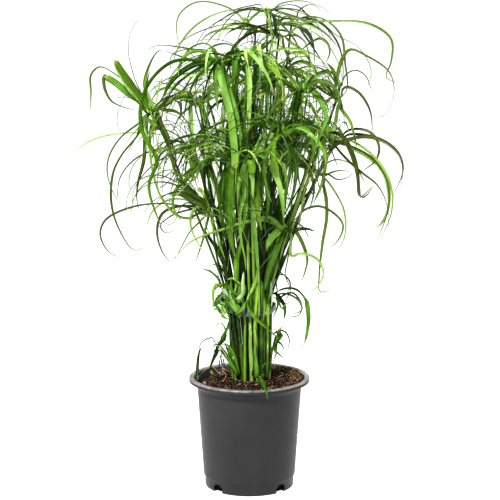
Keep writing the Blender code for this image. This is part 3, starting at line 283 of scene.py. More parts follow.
# Bracts that only the looks have, by the culm's number, in the same form
EXTRA = {
    1: leaves(
        (0.0084, -0.02, (80, 70), (143, 104), (128, 93), (114, 82), (104, 76)),
        (0.0076, -0.055, (80, 70), (142, 98), (130, 82), (121, 70), (115, 60)),
        (0.007, -0.05, (75, 60), (146, 96), (147, 84), (150, 70)),
        (0.006, -0.06, (75, 60), (145, 118), (140, 128), (136, 138), (126, 154)),
        (0.0062, -0.07, (80, 60), (148, 118), (158, 127), (154, 128), (150, 124)),
        (0.0056, 0.07, (20, 80), (140, 103), (130, 93), (120, 85), (110, 78), (104, 76),
            (103.5, 81), (105, 90), (111, 101), (120, 106), (136, 110.5)),
        (0.003, 0.03, (60, 20), (142, 96), (135, 80), (131.5, 68), (128.6, 55), (128.6, 42),
            (132, 29), (139, 18)),
        (0.0026, -0.06, (60, 20), (140, 105), (128, 94), (121, 103), (117.5, 114), (117.5, 125),
            (121, 134)),
        (0.0024, -0.04, (60, 20), (137, 101), (125, 97), (114, 98.5)),
        (0.0044, -0.03, (20, 70), (148, 128), (145, 151), (133, 166), (129, 182), (133, 198),
            (136, 201)),
        (0.0052, 0.02, (70, 30), (146, 125), (144, 160), (138, 184), (137, 200), (139.5, 212)),
        (0.009, -0.07, (75, 30), (146, 124), (149, 140), (158, 160), (162, 175)),
        (0.003, 0.03, (40, 40), (158, 128), (170, 140), (176, 160), (172, 178)),
        (0.0056, -0.02, (60, 50), (160, 122), (168, 138), (172, 160), (180, 184)),
        (0.0044, 0.06, (60, 50), (162, 110), (176, 112), (188, 124), (194, 142)),
        (0.0024, 0.0, (60, 20), (136, 131), (128, 140), (126, 146)),
    ),
    2: leaves(
        (0.0082, 0.0, (90, 90), (221.5, 76, -0.085), (225.0, 94, -0.108), (229.5, 112, -0.118),
            (233.0, 134, -0.122), (235, 158, -0.121), (235, 170, -0.12)),
        (0.007, 0.0, (90, 88), (223.5, 84, -0.075), (230.0, 112, -0.1), (237, 146, -0.108),
            (237, 176, -0.108), (234, 198, -0.102)),
        (0.0054, 0.0, (88, 88), (226, 78, -0.084), (233, 100, -0.106), (239.5, 128, -0.118),
            (240.5, 156, -0.114)),
        (0.006, 0.05, (60, 30), (204, 57), (194, 61), (184, 58), (163, 50)),
        (0.006, -0.04, (60, 70), (208, 68), (196, 80), (188, 98), (183, 122)),
        (0.005, -0.07, (60, 70), (212, 72), (205, 92), (204, 116), (210, 140)),
        (0.0056, 0.03, (60, 60), (229, 54), (240, 52), (252, 60), (258, 78)),
        (0.004, -0.05, (60, 60), (200, 68), (178, 84), (166, 102), (160, 128)),
        (0.0034, 0.06, (60, 60), (214, 50), (206, 44), (194, 46), (184, 56), (180, 70)),
    ),
    3: leaves(
        (0.006, -0.06, (60, 70), (240, 72), (228, 88), (222, 112), (226, 140)),
        (0.005, 0.06, (60, 70), (256, 56), (268, 58), (278, 72), (284, 96), (282, 120)),
        (0.004, -0.05, (40, 70), (258, 70), (266, 90), (268, 116), (262, 140)),
        (0.0034, 0.09, (40, 70), (240, 52), (226, 44), (210, 48), (198, 62)),
        (0.006, 0.0, (85, 85), (253, 50, -0.09), (258, 46, -0.106), (260.5, 60, -0.114),
            (259.5, 84, -0.116)),
        (0.0058, 0.0, (88, 88), (248, 66, -0.085), (249.5, 80, -0.106), (249.5, 100, -0.112),
            (249.5, 118, -0.112), (248.5, 134, -0.108)),
    ),
    4: leaves(
        (0.0044, -0.06, (60, 40), (249, 26), (240, 27.5), (228, 33), (221, 44)),
        (0.008, -0.11, (80, 60), (250, 33), (241, 41), (230, 55)),
        (0.0034, -0.06, (20, 60), (262, 30.5), (283, 30.5), (299, 36), (308, 44)),
        (0.0044, -0.02, (60, 60), (236, 24), (222, 29), (211, 38), (203, 50)),
        (0.0036, -0.05, (20, 60), (270, 27), (290, 22), (310, 26), (325, 38)),
    ),
    5: leaves(
        (0.003, -0.02, (20, 20), (280, 8.5), (300, 13), (318, 20), (330, 32)),
        (0.0044, -0.06, (30, 70), (280, 13), (302, 20), (325, 33), (339, 48)),
        (0.005, -0.09, (50, 70), (259, 13), (247, 24), (238, 40), (234, 60)),
        (0.003, -0.09, (50, 70), (274, 17), (284, 27), (296, 42), (302, 60)),
        (0.0026, 0.0, (20, 20), (262, 5), (248, 6.5), (234, 10), (226, 16)),
    ),
    6: leaves(
        (0.0034, -0.1, (30, 70), (284, 19.5), (270, 24), (257, 27), (246, 34)),
        (0.003, -0.06, (30, 70), (299, 27), (310, 43), (320, 58), (325, 66)),
        (0.0034, 0.01, (20, 20), (298, 12.5), (308, 5), (314, 5), (319, 9), (323, 14)),
        (0.0034, 0.04, (40, 70), (304, 18), (322, 25), (338, 44), (343, 70), (341, 96)),
    ),
    7: leaves(
        (0.008, -0.04, (80, 60), (277, 28), (275, 20), (272, 12)),
        (0.0038, -0.06, (80, 40), (270, 43), (254, 57), (240, 72), (232, 92)),
        (0.0036, -0.05, (60, 60), (290, 42), (304, 52), (314, 70), (318, 92)),
        (0.0034, -0.06, (60, 60), (284, 46), (290, 62), (290, 84), (284, 108)),
        (0.0044, 0.06, (40, 60), (268, 32), (250, 34), (234, 46), (226, 64)),
    ),
    8: leaves(
        (0.007, -0.05, (60, 20), (312, 92), (322, 104), (327, 120), (327, 138)),
        (0.0056, -0.04, (60, 60), (291, 96), (276, 106), (268, 124), (264, 150)),
        (0.005, -0.05, (60, 60), (302, 103), (300, 124), (294, 148), (284, 170)),
        (0.0044, 0.02, (60, 60), (290, 84), (276, 78), (262, 84), (252, 100)),
        (0.006, -0.03, (60, 60), (312, 84), (326, 82), (337, 92), (341, 112)),
    ),
    9: leaves(
        (0.0046, 0.0, (70, 60), (322, 180, -0.03), (326, 200, -0.03), (326, 220, -0.03),
            (323, 240, -0.03), (320, 262, -0.03), (319, 284, -0.03)),
        (0.0026, 0.02, (60, 20), (333, 172), (343, 170.5), (352, 172.5)),
        (0.0024, 0.0, (60, 20), (327, 174), (338, 180), (350, 176), (356, 171)),
        (0.003, -0.02, (60, 20), (314, 184), (310, 190), (313, 194), (317, 191)),
        (0.005, 0.02, (60, 60), (310, 168), (300, 166), (290, 174), (284, 190)),
        (0.0044, -0.04, (60, 60), (322, 168), (336, 160), (354, 166), (366, 184)),
        (0.0024, -0.04, (60, 60), (312, 188), (306, 204), (296, 216)),
    ),
    10: leaves(
        (0.0064, -0.12, (75, 50), (232, 112), (226, 130), (224, 152), (228, 178)),
        (0.0056, -0.08, (75, 50), (248, 112), (256, 130), (258, 154), (252, 178)),
        (0.005, -0.04, (60, 50), (228, 100), (214, 106), (206, 124), (204, 150)),
    ),
    11: leaves(
        (0.0044, -0.04, (60, 60), (341, 108), (350, 121), (354, 134), (357, 151)),
        (0.007, -0.06, (80, 30), (337, 84), (333, 70), (326, 62)),
        (0.006, -0.05, (60, 60), (326, 104), (316, 116), (312, 134), (316, 156)),
        (0.0044, 0.06, (60, 60), (338, 88), (336, 76), (326, 70), (316, 76)),
        (0.0034, 0.02, (40, 60), (340, 86), (346, 74), (356, 70), (366, 76), (372, 92)),
        (0.0056, -0.06, (60, 60), (338, 112), (334, 132), (330, 152), (318, 172)),
    ),
    12: leaves(
        (0.0044, -0.05, (60, 60), (347, 132), (357, 129.5), (371, 133), (379, 146), (376, 160),
            (362, 171.5)),
        (0.003, -0.08, (60, 60), (339, 131), (342, 123), (345.5, 122.5), (348, 128), (350, 136)),
        (0.0044, -0.01, (60, 20), (347, 136), (370, 136.5), (388, 144), (400, 157), (402.5, 172),
            (400, 187), (391, 200)),
        (0.005, -0.08, (60, 60), (328, 150), (320, 162), (318, 180), (322, 198)),
    ),
    13: leaves(
        (0.0046, 0.0, (70, 60), (342, 136, -0.08), (352, 152, -0.08), (357, 168, -0.08),
            (359, 186, -0.08), (361, 198, -0.08), (366, 196, -0.08), (374, 185, -0.08)),
        (0.0034, 0.01, (60, 20), (333, 144), (345, 158), (362, 173), (377, 185), (386, 202),
            (388.5, 222), (386, 238), (380, 244)),
        (0.0028, 0.0, (60, 20), (328, 140), (333, 155), (336, 162), (338, 170)),
        (0.006, -0.02, (60, 60), (312, 138), (302, 150), (298, 170), (302, 194)),
        (0.0056, -0.03, (60, 60), (324, 142), (326, 160), (322, 184), (312, 206)),
        (0.0044, 0.04, (60, 60), (310, 124), (298, 122), (288, 132), (282, 150)),
    ),
    14: leaves(
        (0.007, -0.04, (60, 60), (288, 70), (300, 62), (312, 66), (320, 80)),
        (0.006, -0.06, (60, 60), (284, 66), (290, 54), (304, 54), (314, 66)),
        (0.0056, -0.08, (50, 80), (285, 68), (296, 57), (308, 45), (321, 38.5), (328.5, 45),
            (329.6, 54), (325, 64)),
        (0.005, -0.09, (60, 60), (270, 84), (260, 96), (256, 118), (258, 140)),
        (0.005, -0.1, (60, 60), (290, 88), (300, 102), (302, 124), (296, 146)),
    ),
    15: leaves(
        (0.008, -0.1, (75, 30), (259, 76), (260, 58), (263, 46), (269, 41), (285, 50), (299, 57),
            (313, 68)),
        (0.005, -0.12, (60, 60), (250, 92), (240, 104), (236, 124), (238, 146)),
    ),
    16: leaves(
        (0.008, 0.0, (85, 85), (251.5, 160, -0.12), (252, 167, -0.121), (252, 175, -0.12)),
        (0.0056, 0.0, (85, 85), (251.5, 170, -0.117), (252.5, 182, -0.114), (252.5, 200, -0.108)),
        (0.0032, 0.0, (60, 60), (249, 190, -0.112), (254, 204, -0.106), (260, 208.5, -0.104),
            (267, 206, -0.102), (272, 198, -0.1)),
        (0.0026, 0.0, (60, 60), (243, 200, -0.112), (255, 213, -0.104), (264, 220, -0.1),
            (272, 224, -0.096), (281, 223, -0.092)),
        (0.0088, 0.0, (80, 70), (257, 172, -0.1), (259, 190, -0.092), (258, 212, -0.08),
            (262, 232, -0.066)),
        (0.005, 0.0, (85, 85), (253, 205, -0.1), (255, 230, -0.084), (257, 255, -0.068),
            (258.5, 280, -0.054), (259, 300, -0.046), (258.5, 321, -0.0425)),
        (0.0046, 0.0, (85, 85), (246, 186, -0.105), (240, 212, -0.092), (241, 240, -0.072),
            (244.5, 256, -0.062), (246, 272, -0.054)),
        (0.008, -0.02, (80, 40), (246, 166), (240, 186), (238, 208), (242, 236)),
        (0.006, -0.02, (75, 40), (260, 164), (266, 182), (268, 206), (262, 232)),
        (0.0044, 0.0, (60, 40), (242, 152), (230, 156), (220, 170), (214, 192)),
        (0.005, 0.0, (60, 40), (262, 150), (274, 152), (284, 166), (288, 190)),
        (0.009, 0.02, (85, 60), (262, 144), (270, 136), (277, 128)),
        (0.007, -0.01, (80, 60), (266, 160), (276, 176), (282, 196), (284, 220)),
    ),
    17: leaves(
        (0.01, 0.0, (85, 75), (231, 172, -0.1), (229, 192, -0.09), (229, 216, -0.078),
            (231, 240, -0.066), (236, 260, -0.054)),
        (0.0056, 0.0, (80, 80), (236, 174, -0.1), (238, 190, -0.094), (243, 208, -0.086),
            (250, 222, -0.078)),
        (0.0026, 0.0, (60, 60), (229, 149, -0.11), (225, 150, -0.114), (224, 156, -0.114),
            (228, 159, -0.108)),
        (0.006, 0.0, (80, 60), (226, 178, -0.095), (223, 200, -0.084), (226, 222, -0.072),
            (230, 246, -0.058)),
        (0.007, -0.02, (75, 60), (226, 172), (220, 192), (222, 216), (230, 240)),
        (0.0044, 0.01, (60, 60), (222, 156), (208, 158), (196, 170), (188, 190)),
        (0.003, -0.01, (60, 60), (228, 180), (224, 190), (218, 186), (220, 176)),
        (0.006, -0.02, (75, 60), (242, 172), (246, 196), (244, 222), (236, 244)),
    ),
    18: leaves(
        (0.005, 0.0, (75, 60), (196, 172, -0.06), (184, 176, -0.07), (172, 172, -0.075),
            (170, 176, -0.078)),
        (0.0054, 0.0, (70, 60), (198, 176, -0.06), (186, 186, -0.07), (176, 196, -0.075),
            (167, 200, -0.078)),
        (0.0044, 0.0, (60, 60), (212, 170, -0.06), (218, 188, -0.068), (226, 206, -0.07),
            (232, 228, -0.064)),
        (0.008, -0.03, (75, 20), (192, 170), (178, 180), (174, 183), (172, 190)),
        (0.006, 0.01, (75, 50), (188, 178), (176, 190), (173, 206), (182, 222)),
        (0.005, -0.04, (60, 60), (204, 178), (206, 198), (214, 222), (222, 244)),
        (0.0044, 0.02, (60, 60), (216, 156), (230, 150), (244, 154), (256, 168)),
    ),
    19: leaves(
        (0.003, 0.02, (60, 50), (178, 150), (156, 150), (134, 160), (120, 178), (117, 200)),
        (0.0026, -0.04, (60, 50), (180, 152), (164, 158), (146, 172), (134, 190), (132, 212)),
        (0.004, 0.0, (60, 60), (178, 150, 0.02), (172, 160, 0.0), (176, 176, -0.02),
            (186, 196, -0.03)),
        (0.004, 0.0, (60, 60), (182, 152, 0.03), (171, 172, 0.01), (161, 178, -0.01),
            (152, 176, -0.02)),
        (0.0034, -0.03, (30, 60), (180, 150), (166, 156), (158, 172), (158, 196)),
        (0.0044, -0.06, (60, 60), (188, 158), (186, 176), (192, 200), (204, 222)),
        (0.003, 0.03, (60, 60), (182, 140), (166, 130), (148, 132), (136, 144)),
        (0.005, -0.09, (60, 60), (184, 156), (176, 172), (166, 184), (156, 190)),
    ),
    20: leaves(
        (0.0056, 0.0, (70, 60), (205, 203, -0.04), (196, 196, -0.05), (185, 190, -0.056),
            (172, 190, -0.06)),
        (0.005, 0.0, (70, 60), (204, 208, -0.04), (192, 199, -0.046), (180, 194, -0.05),
            (168, 196, -0.054)),
        (0.0044, 0.0, (50, 60), (200, 214, -0.03), (188, 219, -0.03), (176, 215, -0.03),
            (166, 204, -0.028), (158, 190, -0.024)),
        (0.0062, 0.0, (80, 70), (214, 226, -0.04), (220, 244, -0.044), (226, 262, -0.042)),
        (0.0044, 0.01, (60, 60), (196, 208), (178, 207), (163, 213), (158, 224), (157.5, 236),
            (162, 251), (171, 264)),
        (0.0024, -0.03, (60, 60), (196, 206), (186, 203), (179, 210), (177, 217), (170, 225),
            (160, 219)),
        (0.007, -0.03, (75, 50), (196, 196), (184, 184), (176, 179), (170, 184)),
        (0.0044, -0.03, (60, 50), (200, 204), (188, 194), (176, 192), (164, 196), (154, 206)),
        (0.003, -0.04, (60, 50), (198, 200), (180, 187), (160, 182), (142, 188), (131, 203)),
        (0.0026, 0.03, (60, 50), (196, 198), (176, 182), (156, 175), (138, 181), (128, 195),
            (126, 211)),
        (0.004, 0.05, (60, 50), (199, 208), (184, 200), (166, 201), (152, 212), (146, 228)),
        (0.0028, 0.06, (60, 50), (202, 204), (186, 178), (170, 170), (152, 178), (136, 194),
            (130, 214)),
        (0.0026, 0.01, (60, 50), (200, 222), (190, 232), (180, 250), (173, 262)),
        (0.0026, -0.02, (60, 50), (194, 204), (174, 194), (160, 197), (148, 206), (144, 216)),
        (0.003, 0.02, (60, 50), (196, 210), (178, 213), (168, 218), (160, 226), (166, 233),
            (175, 230)),
    ),
    21: leaves(
        (0.006, 0.0, (85, 75), (273, 148, -0.125), (276, 168, -0.115), (280, 190, -0.1),
            (282.5, 206, -0.09), (284, 226, -0.074)),
        (0.0105, 0.0, (85, 70), (276, 124, -0.125), (269, 136, -0.13), (264, 152, -0.13)),
        (0.004, 0.0, (85, 70), (280, 136, -0.125), (272, 148, -0.13), (264, 160, -0.13),
            (256, 168, -0.128)),
        (0.006, -0.01, (75, 60), (274, 142), (266, 158), (266, 182), (272, 204)),
        (0.0056, -0.02, (75, 60), (290, 146), (296, 164), (294, 190), (286, 212)),
        (0.005, 0.0, (60, 60), (292, 126), (304, 126), (312, 140), (314, 162)),
        (0.0044, 0.02, (60, 60), (276, 122), (264, 116), (252, 122), (244, 138)),
    ),
    22: leaves(
        (0.008, 0.0, (80, 70), (280, 170, 0.04), (274, 196, 0.0), (270, 220, -0.03),
            (272, 246, -0.045)),
        (0.0056, -0.11, (60, 60), (278, 164), (270, 184), (272, 210), (280, 232)),
        (0.005, -0.09, (60, 60), (298, 160), (310, 172), (314, 192), (308, 214)),
    ),
    23: leaves(
        (0.0046, -0.02, (40, 60), (324, 140), (346, 140), (368, 152), (384, 170), (392, 192),
            (391, 214), (384, 232), (378, 246)),
        (0.0056, 0.0, (30, 60), (322, 143), (342, 145), (361, 152), (377, 163.5), (387, 180),
            (389, 202), (385, 220), (377, 240)),
        (0.003, 0.05, (30, 20), (325, 147), (345, 140), (372, 139), (392, 149), (402, 164),
            (408, 176)),
        (0.005, -0.06, (60, 60), (308, 160), (304, 180), (304, 204), (296, 226)),
        (0.0044, 0.02, (60, 60), (322, 142), (331, 134), (338, 128), (343, 136), (343, 150)),
    ),
    24: leaves(
        (0.0044, -0.11, (60, 60), (190, 108), (178, 120), (172, 140), (176, 164)),
        (0.0044, -0.11, (60, 60), (204, 114), (208, 134), (204, 160), (194, 180)),
        (0.005, -0.08, (50, 60), (190, 98), (176, 98), (164, 110), (158, 130)),
        (0.004, -0.06, (50, 60), (206, 92), (216, 82), (222, 90), (224, 108)),
    ),
    25: leaves(
        (0.008, 0.0, (80, 75), (279, 242, -0.06), (273, 258, -0.056), (268, 274, -0.05),
            (265, 292, -0.044)),
        (0.0096, 0.0, (85, 75), (276, 232, -0.062), (270, 240, -0.066), (266, 252, -0.064)),
        (0.0024, 0.0, (60, 60), (278, 244, -0.062), (270, 246, -0.066), (264, 252, -0.066),
            (260, 262, -0.062), (258, 270, -0.058)),
        (0.0024, 0.0, (60, 60), (272, 228, -0.062), (264, 236, -0.072), (257, 247, -0.072),
            (252, 251, -0.07), (246, 251, -0.068)),
        (0.0024, 0.0, (40, 60), (287, 262, -0.04), (285, 275, -0.034), (290, 288, -0.034),
            (288, 297, -0.034), (283, 301, -0.034)),
        (0.004, 0.01, (60, 60), (291, 256), (300, 253.5), (310, 255), (319, 261), (323.7, 274),
            (317, 287), (306, 297)),
        (0.0034, 0.0, (60, 60), (281, 250), (280, 271), (288, 278), (291, 284), (284, 298)),
        (0.0044, -0.05, (60, 60), (272, 222), (256, 221), (240, 224), (222, 230), (203, 236),
            (189, 243), (180, 252), (172.5, 260)),
        (0.009, 0.01, (85, 40), (278, 214), (274, 200), (278, 186)),
        (0.006, -0.02, (75, 40), (279, 240), (270, 256), (258, 272), (255, 292)),
        (0.0024, 0.0, (60, 40), (292, 222), (302, 226), (310, 240)),
        (0.0024, -0.03, (60, 40), (272, 236), (262, 244), (256, 262)),
    ),
}

# Bracts of the young shoots that only the looks have, by the shoot's number
EXTRA_YOUNG = {
    1: leaves(
        (0.004, 0.0, (80, 80), (249, 296, -0.036), (252, 289, -0.04), (257, 280, -0.046)),
        (0.008, 0.0, (85, 80), (241, 290, -0.036), (236, 277, -0.04), (235, 262, -0.046)),
        (0.0046, 0.0, (80, 80), (240, 297, -0.036), (232, 291, -0.04), (231, 276, -0.044)),
        (0.0044, 0.0, (80, 80), (243, 307, -0.04), (239, 312, -0.0425), (234, 315, -0.0425)),
    ),
    2: leaves(
        (0.0052, 0.0, (80, 80), (218.5, 350, -0.03), (214, 358, -0.026), (210, 369, -0.02)),
        (0.0026, 0.0, (60, 60), (217, 341, -0.03), (213, 337, -0.032), (206, 339, -0.034),
            (200.5, 343, -0.036)),
        (0.0026, 0.0, (60, 60), (216, 345, -0.03), (211, 350, -0.03), (209, 357, -0.03),
            (209.5, 364, -0.03)),
        (0.005, 0.0, (80, 80), (222, 339, -0.03), (226, 332, -0.03), (229.5, 326, -0.028)),
        (0.0026, 0.0, (60, 60), (222, 352, -0.03), (221, 360, -0.032), (222.5, 368, -0.034)),
        (0.0022, 0.0, (60, 60), (226, 336, -0.026), (224, 326, -0.024), (220, 322.5, -0.024),
            (214.5, 328, -0.024)),
    ),
    3: leaves(
        (0.0046, 0.0, (80, 80), (222, 287, -0.02), (217, 284, -0.024), (214, 288, -0.026),
            (213, 299, -0.026), (215, 310, -0.024)),
        (0.0056, 0.0, (80, 80), (224, 292, -0.024), (219, 298, -0.028), (215, 303, -0.03),
            (219, 309, -0.03), (224, 312, -0.03)),
        (0.0042, 0.0, (80, 80), (227, 300, -0.026), (222, 308, -0.03), (226, 316, -0.032),
            (220, 316, -0.032)),
        (0.0042, 0.0, (80, 80), (230, 296, -0.028), (226, 306, -0.032), (229, 316, -0.034),
            (231, 326, -0.034)),
        (0.0034, 0.0, (70, 70), (219, 280, -0.012), (211, 272, -0.012), (200, 268, -0.012)),
        (0.0034, 0.0, (70, 70), (225, 271, -0.006), (218, 264, 0.0), (211, 265, 0.006),
            (205, 267, 0.01)),
    ),
    4: leaves(
        (0.003, 0.0, (60, 60), (278, 341, -0.008), (282, 345, -0.01), (285, 352, -0.012)),
        (0.0024, 0.0, (80, 80), (274, 345, -0.012), (276, 352, -0.014), (275, 358, -0.014),
            (271, 363, -0.014)),
        (0.0034, 0.0, (80, 80), (274, 350, -0.014), (278, 353, -0.016), (281, 356, -0.018),
            (285.5, 360, -0.02)),
        (0.0026, 0.0, (60, 60), (277, 332, -0.008), (273, 324, -0.01), (274, 317, -0.012)),
        (0.0028, 0.0, (60, 60), (278, 337, -0.008), (281, 339, -0.01), (284, 342, -0.012)),
        (0.004, 0.0, (80, 80), (278, 332, -0.004), (283, 326, -0.002)),
    ),
    5: leaves(
        (0.0026, 0.0, (60, 60), (278, 299, 0.0), (286, 294, -0.004), (293, 293, -0.006),
            (299, 299, -0.008), (302, 308, -0.008), (299, 315, -0.008), (291, 316.5, -0.008),
            (286, 311, -0.008)),
        (0.0052, 0.0, (80, 80), (280, 299, 0.0), (284, 304, -0.004), (285, 312, -0.008),
            (283.5, 321, -0.01)),
        (0.0034, 0.0, (80, 80), (282, 309, -0.004), (285, 305, -0.008), (289, 302, -0.01),
            (292, 301, -0.01)),
        (0.0024, 0.0, (60, 60), (277, 276, 0.004), (284, 275, 0.004), (290, 283, 0.004),
            (290, 292, 0.004), (284, 300, 0.004)),
    ),
}

# Bracts with a cut or torn tip, by culm and place in TRACED, or in EXTRA with an x
BLUNT = {(2, "x0"), (1, 0), (25, 2), (1, "x0"), (1, "x1"), (16, "x0")}


def spot(across, down, depth):
    """The point that the photograph shows at (across, down), depth behind the pot's axis."""
    ahead = Vector((0.0, math.cos(PITCH), -math.sin(PITCH)))
    above = Vector((0.0, math.sin(PITCH), math.cos(PITCH)))
    ray = ahead + above * ((MIDDLE_DOWN - down) / FOCAL)
    ray.x = (across - AXIS_ACROSS) / FOCAL
    return EYE + ray * ((depth - EYE.y) / ray.y)


def seen(place):
    """Where the photograph shows a point, as (across, down)."""
    ahead = Vector((0.0, math.cos(PITCH), -math.sin(PITCH)))
    above = Vector((0.0, math.sin(PITCH), math.cos(PITCH)))
    away = place - EYE
    far = away.dot(ahead)
    return AXIS_ACROSS + FOCAL * away.x / far, MIDDLE_DOWN - FOCAL * away.dot(above) / far


def mix(low, high, part):
    return low + (high - low) * part


def ease(part):
    part = min(max(part, 0.0), 1.0)
    return part * part * (3.0 - 2.0 * part)


def table(pairs, key):
    """Read a value from sorted (key, value) pairs, straight between them."""
    if key <= pairs[0][0]:
        return pairs[0][1]
    for (low, first), (high, second) in zip(pairs, pairs[1:]):
        if key <= high:
            return mix(first, second, (key - low) / (high - low))
    return pairs[-1][1]


def smooth_line(points, fine=8):
    """A smooth curve through the points, as a list of close points."""
    ends = [points[0] * 2 - points[1]] + list(points) + [points[-1] * 2 - points[-2]]
    line = []
    for a, b, c, d in zip(ends, ends[1:], ends[2:], ends[3:]):
        first = max((b - a).length, 1e-6) ** 0.5
        middle = max((c - b).length, 1e-6) ** 0.5
        last = max((d - c).length, 1e-6) ** 0.5
        start = (b - a) / first - (c - a) / (first + middle) + (c - b) / middle
        finish = (c - b) / middle - (d - b) / (middle + last) + (d - c) / last
        start *= middle
        finish *= middle
        for step in range(fine):
            t = step / fine
            line.append(b * (2 * t**3 - 3 * t**2 + 1) + start * (t**3 - 2 * t**2 + t)
                        + c * (3 * t**2 - 2 * t**3) + finish * (t**3 - t**2))
    line.append(points[-1].copy())
    return line


class Route:
    """A line in space that is read by the share of its length, with a side direction."""

    def __init__(self, line, turn=(0.0, 0.0)):
        self.line = line
        self.reach = [0.0]
        for low, high in zip(line, line[1:]):
            self.reach.append(self.reach[-1] + (high - low).length)
        self.length = self.reach[-1]
        self.turn = turn
        self.headings = []
        for i in range(len(line)):
            ahead = line[min(i + 1, len(line) - 1)] - line[max(i - 1, 0)]
            self.headings.append(ahead.normalized())
        side = Vector((0.0, 0.0, 1.0)).cross(self.headings[0])
        if side.length < 0.05:
            side = Vector((1.0, 0.0, 0.0))
        self.sides = [side.normalized()]
        for low, high in zip(self.headings, self.headings[1:]):
            side = low.rotation_difference(high) @ self.sides[-1]
            self.sides.append((side - high * side.dot(high)).normalized())

    def frame(self, share):
        """Place, heading and side at a share of the length."""
        want = share * self.length
        i = 0
        while i < len(self.reach) - 2 and self.reach[i + 1] < want:
            i += 1
        part = (want - self.reach[i]) / max(self.reach[i + 1] - self.reach[i], 1e-9)
        place = self.line[i].lerp(self.line[i + 1], part)
        heading = self.headings[i].lerp(self.headings[i + 1], part).normalized()
        side = self.sides[i].lerp(self.sides[i + 1], part)
        side = (side - heading * side.dot(heading)).normalized()
        angle = math.radians(mix(self.turn[0], self.turn[1], ease(share)))
        angle *= ease(share * 5.0)
        return place, heading, Matrix.Rotation(angle, 3, heading) @ side


def pot_inner_radius(height):
    """Radius of the inside of the pot's wall at a height."""
    levels = ((FLOOR, FOOT_RADIUS - WALL), (FOOT_STEP_HEIGHT + 0.002, WALL_FOOT_RADIUS - WALL),
              (WALL_TOP_HEIGHT + 0.001, WALL_TOP_RADIUS - WALL),
              (POT_HEIGHT - 0.006, RIM_INNER_RADIUS - 0.0012), (POT_HEIGHT, RIM_INNER_RADIUS))
    return table(levels, height)


def tie_rise(angle):
    """How far the strap rides up at its sides, by the angle round the bundle."""
    return 0.003 * math.cos(angle) ** 2 - 0.002 * math.cos(angle)


def inside_tie(across, depth, radius):
    """Pull a culm's place at the tie's height inside the strap."""
    wide = TIE_HALF_WIDTH - radius - 0.0012
    deep = TIE_HALF_DEPTH - radius - 0.0012
    far = math.hypot(across / wide, depth / deep)
    if far > 1.0:
        return across / far, depth / far
    return across, depth


def stem_levels(top):
    """Heights at which a culm's line has a point, from the soil up."""
    return [level for level in KNOTS if level < top - 0.030] + [top]


def plan_stem(crown, tie, path):
    """A culm's line: from a narrow foot up to the tie, then fanning out to its crown."""
    top = spot(*crown)
    across, low = seen(Vector((tie[0], tie[1], WAIST)))
    places = sorted((down, place) for place, down in
                    tuple(path) + ((crown[0], crown[1]), (across, low)))
    foot = Vector((tie[0] * FOOT_SQUEEZE + FOOT_SHIFT, tie[1] * FOOT_SQUEEZE, KNOTS[0]))
    waist = Vector((tie[0], tie[1], WAIST))
    line = []
    for level in stem_levels(top.z):
        if level <= WAIST:
            line.append(foot.lerp(waist, (level - foot.z) / (waist.z - foot.z)))
            continue
        part = (level - WAIST) / (top.z - WAIST)
        depth = mix(tie[1], top.y, part ** 1.15)
        if path:
            down = seen(Vector((0.0, depth, level)))[1]
            line.append(Vector((spot(table(places, down), down, depth).x, depth, level)))
        else:
            line.append(Vector((mix(tie[0], top.x, part ** 1.10), depth, level)))
    line[-1] = top
    return line


def line_at(line, level):
    """Place of a line at a height, with the two points that hold it."""
    if level < line[0].z - 1e-9 or level > line[-1].z + 1e-9:
        return None
    for i in range(len(line) - 1):
        if level <= line[i + 1].z + 1e-9:
            part = (level - line[i].z) / (line[i + 1].z - line[i].z)
            return line[i].lerp(line[i + 1], part), i, part
    return None


def part_stems(lines, radii):
    """Push neighbouring culms apart, so that none touches another or a crown."""
    levels = sorted(set([round(mix(low, high, part), 4)
                         for low, high in zip(KNOTS, KNOTS[1:] + (0.68,))
                         for part in (0.0, 0.33, 0.67)]
                        + [round(line[-1].z, 4) for line in lines]))
    for _ in range(PUSH_ROUNDS):
        for level in levels:
            held = []
            for number, line in enumerate(lines):
                found = line_at(line, level)
                if found is not None:
                    crown = abs(level - line[-1].z) < 0.008
                    held.append((number, found, HUB_RADIUS + 0.0008 if crown else radii[number]))
            for first in range(len(held)):
                for second in range(first + 1, len(held)):
                    push_apart(lines, held[first], held[second])
        for line, radius in zip(lines, radii):
            for i, place in enumerate(line[:-1]):
                if place.z <= WAIST + 1e-6:
                    across, depth = inside_tie(place.x, place.y, radius)
                    line[i] = Vector((across, depth, place.z))
    return lines


def push_apart(lines, one, two):
    """Move two culms apart at one height where they are closer than they may be."""
    away = one[1][0] - two[1][0]
    away.z = 0.0
    need = one[2] + two[2] + CULM_CLEAR
    if away.length >= need:
        return
    if away.length < 1e-6:
        away = Vector((1e-5, 0.0, 0.0))
    move = away.normalized() * ((need - away.length) * 0.3)
    for sign, (number, (_, i, part), _) in ((1.0, one), (-1.0, two)):
        line = lines[number]
        top = len(line) - 1
        if i > 0 or part < 0.5:
            line[i] = line[i] + move * (sign * (1.0 - part))
        if i + 1 < top:
            line[i + 1] = line[i + 1] + move * (sign * part)


def blade_width(share, width):
    """Width of a bract along its length: narrow at the root, widest early, a fine tip."""
    return width * mix(0.50, 1.0, ease(share / 0.22)) * max(1.0 - share ** 2.4, 0.0) ** 0.8


def blade_section(route, share, width, grow=0.0):
    """The four corners of a bract's folded cross-section, by name."""
    place, heading, side = route.frame(share)
    up = heading.cross(side)
    wide = blade_width(share, width) * 0.5 + grow
    lift = blade_width(share, width) * mix(0.22, 0.06, share)
    thick = BLADE_THICK * 0.5 + grow
    return {"left": place - side * wide + up * lift, "keel": place - up * thick,
            "right": place + side * wide + up * lift, "fold": place + up * thick}


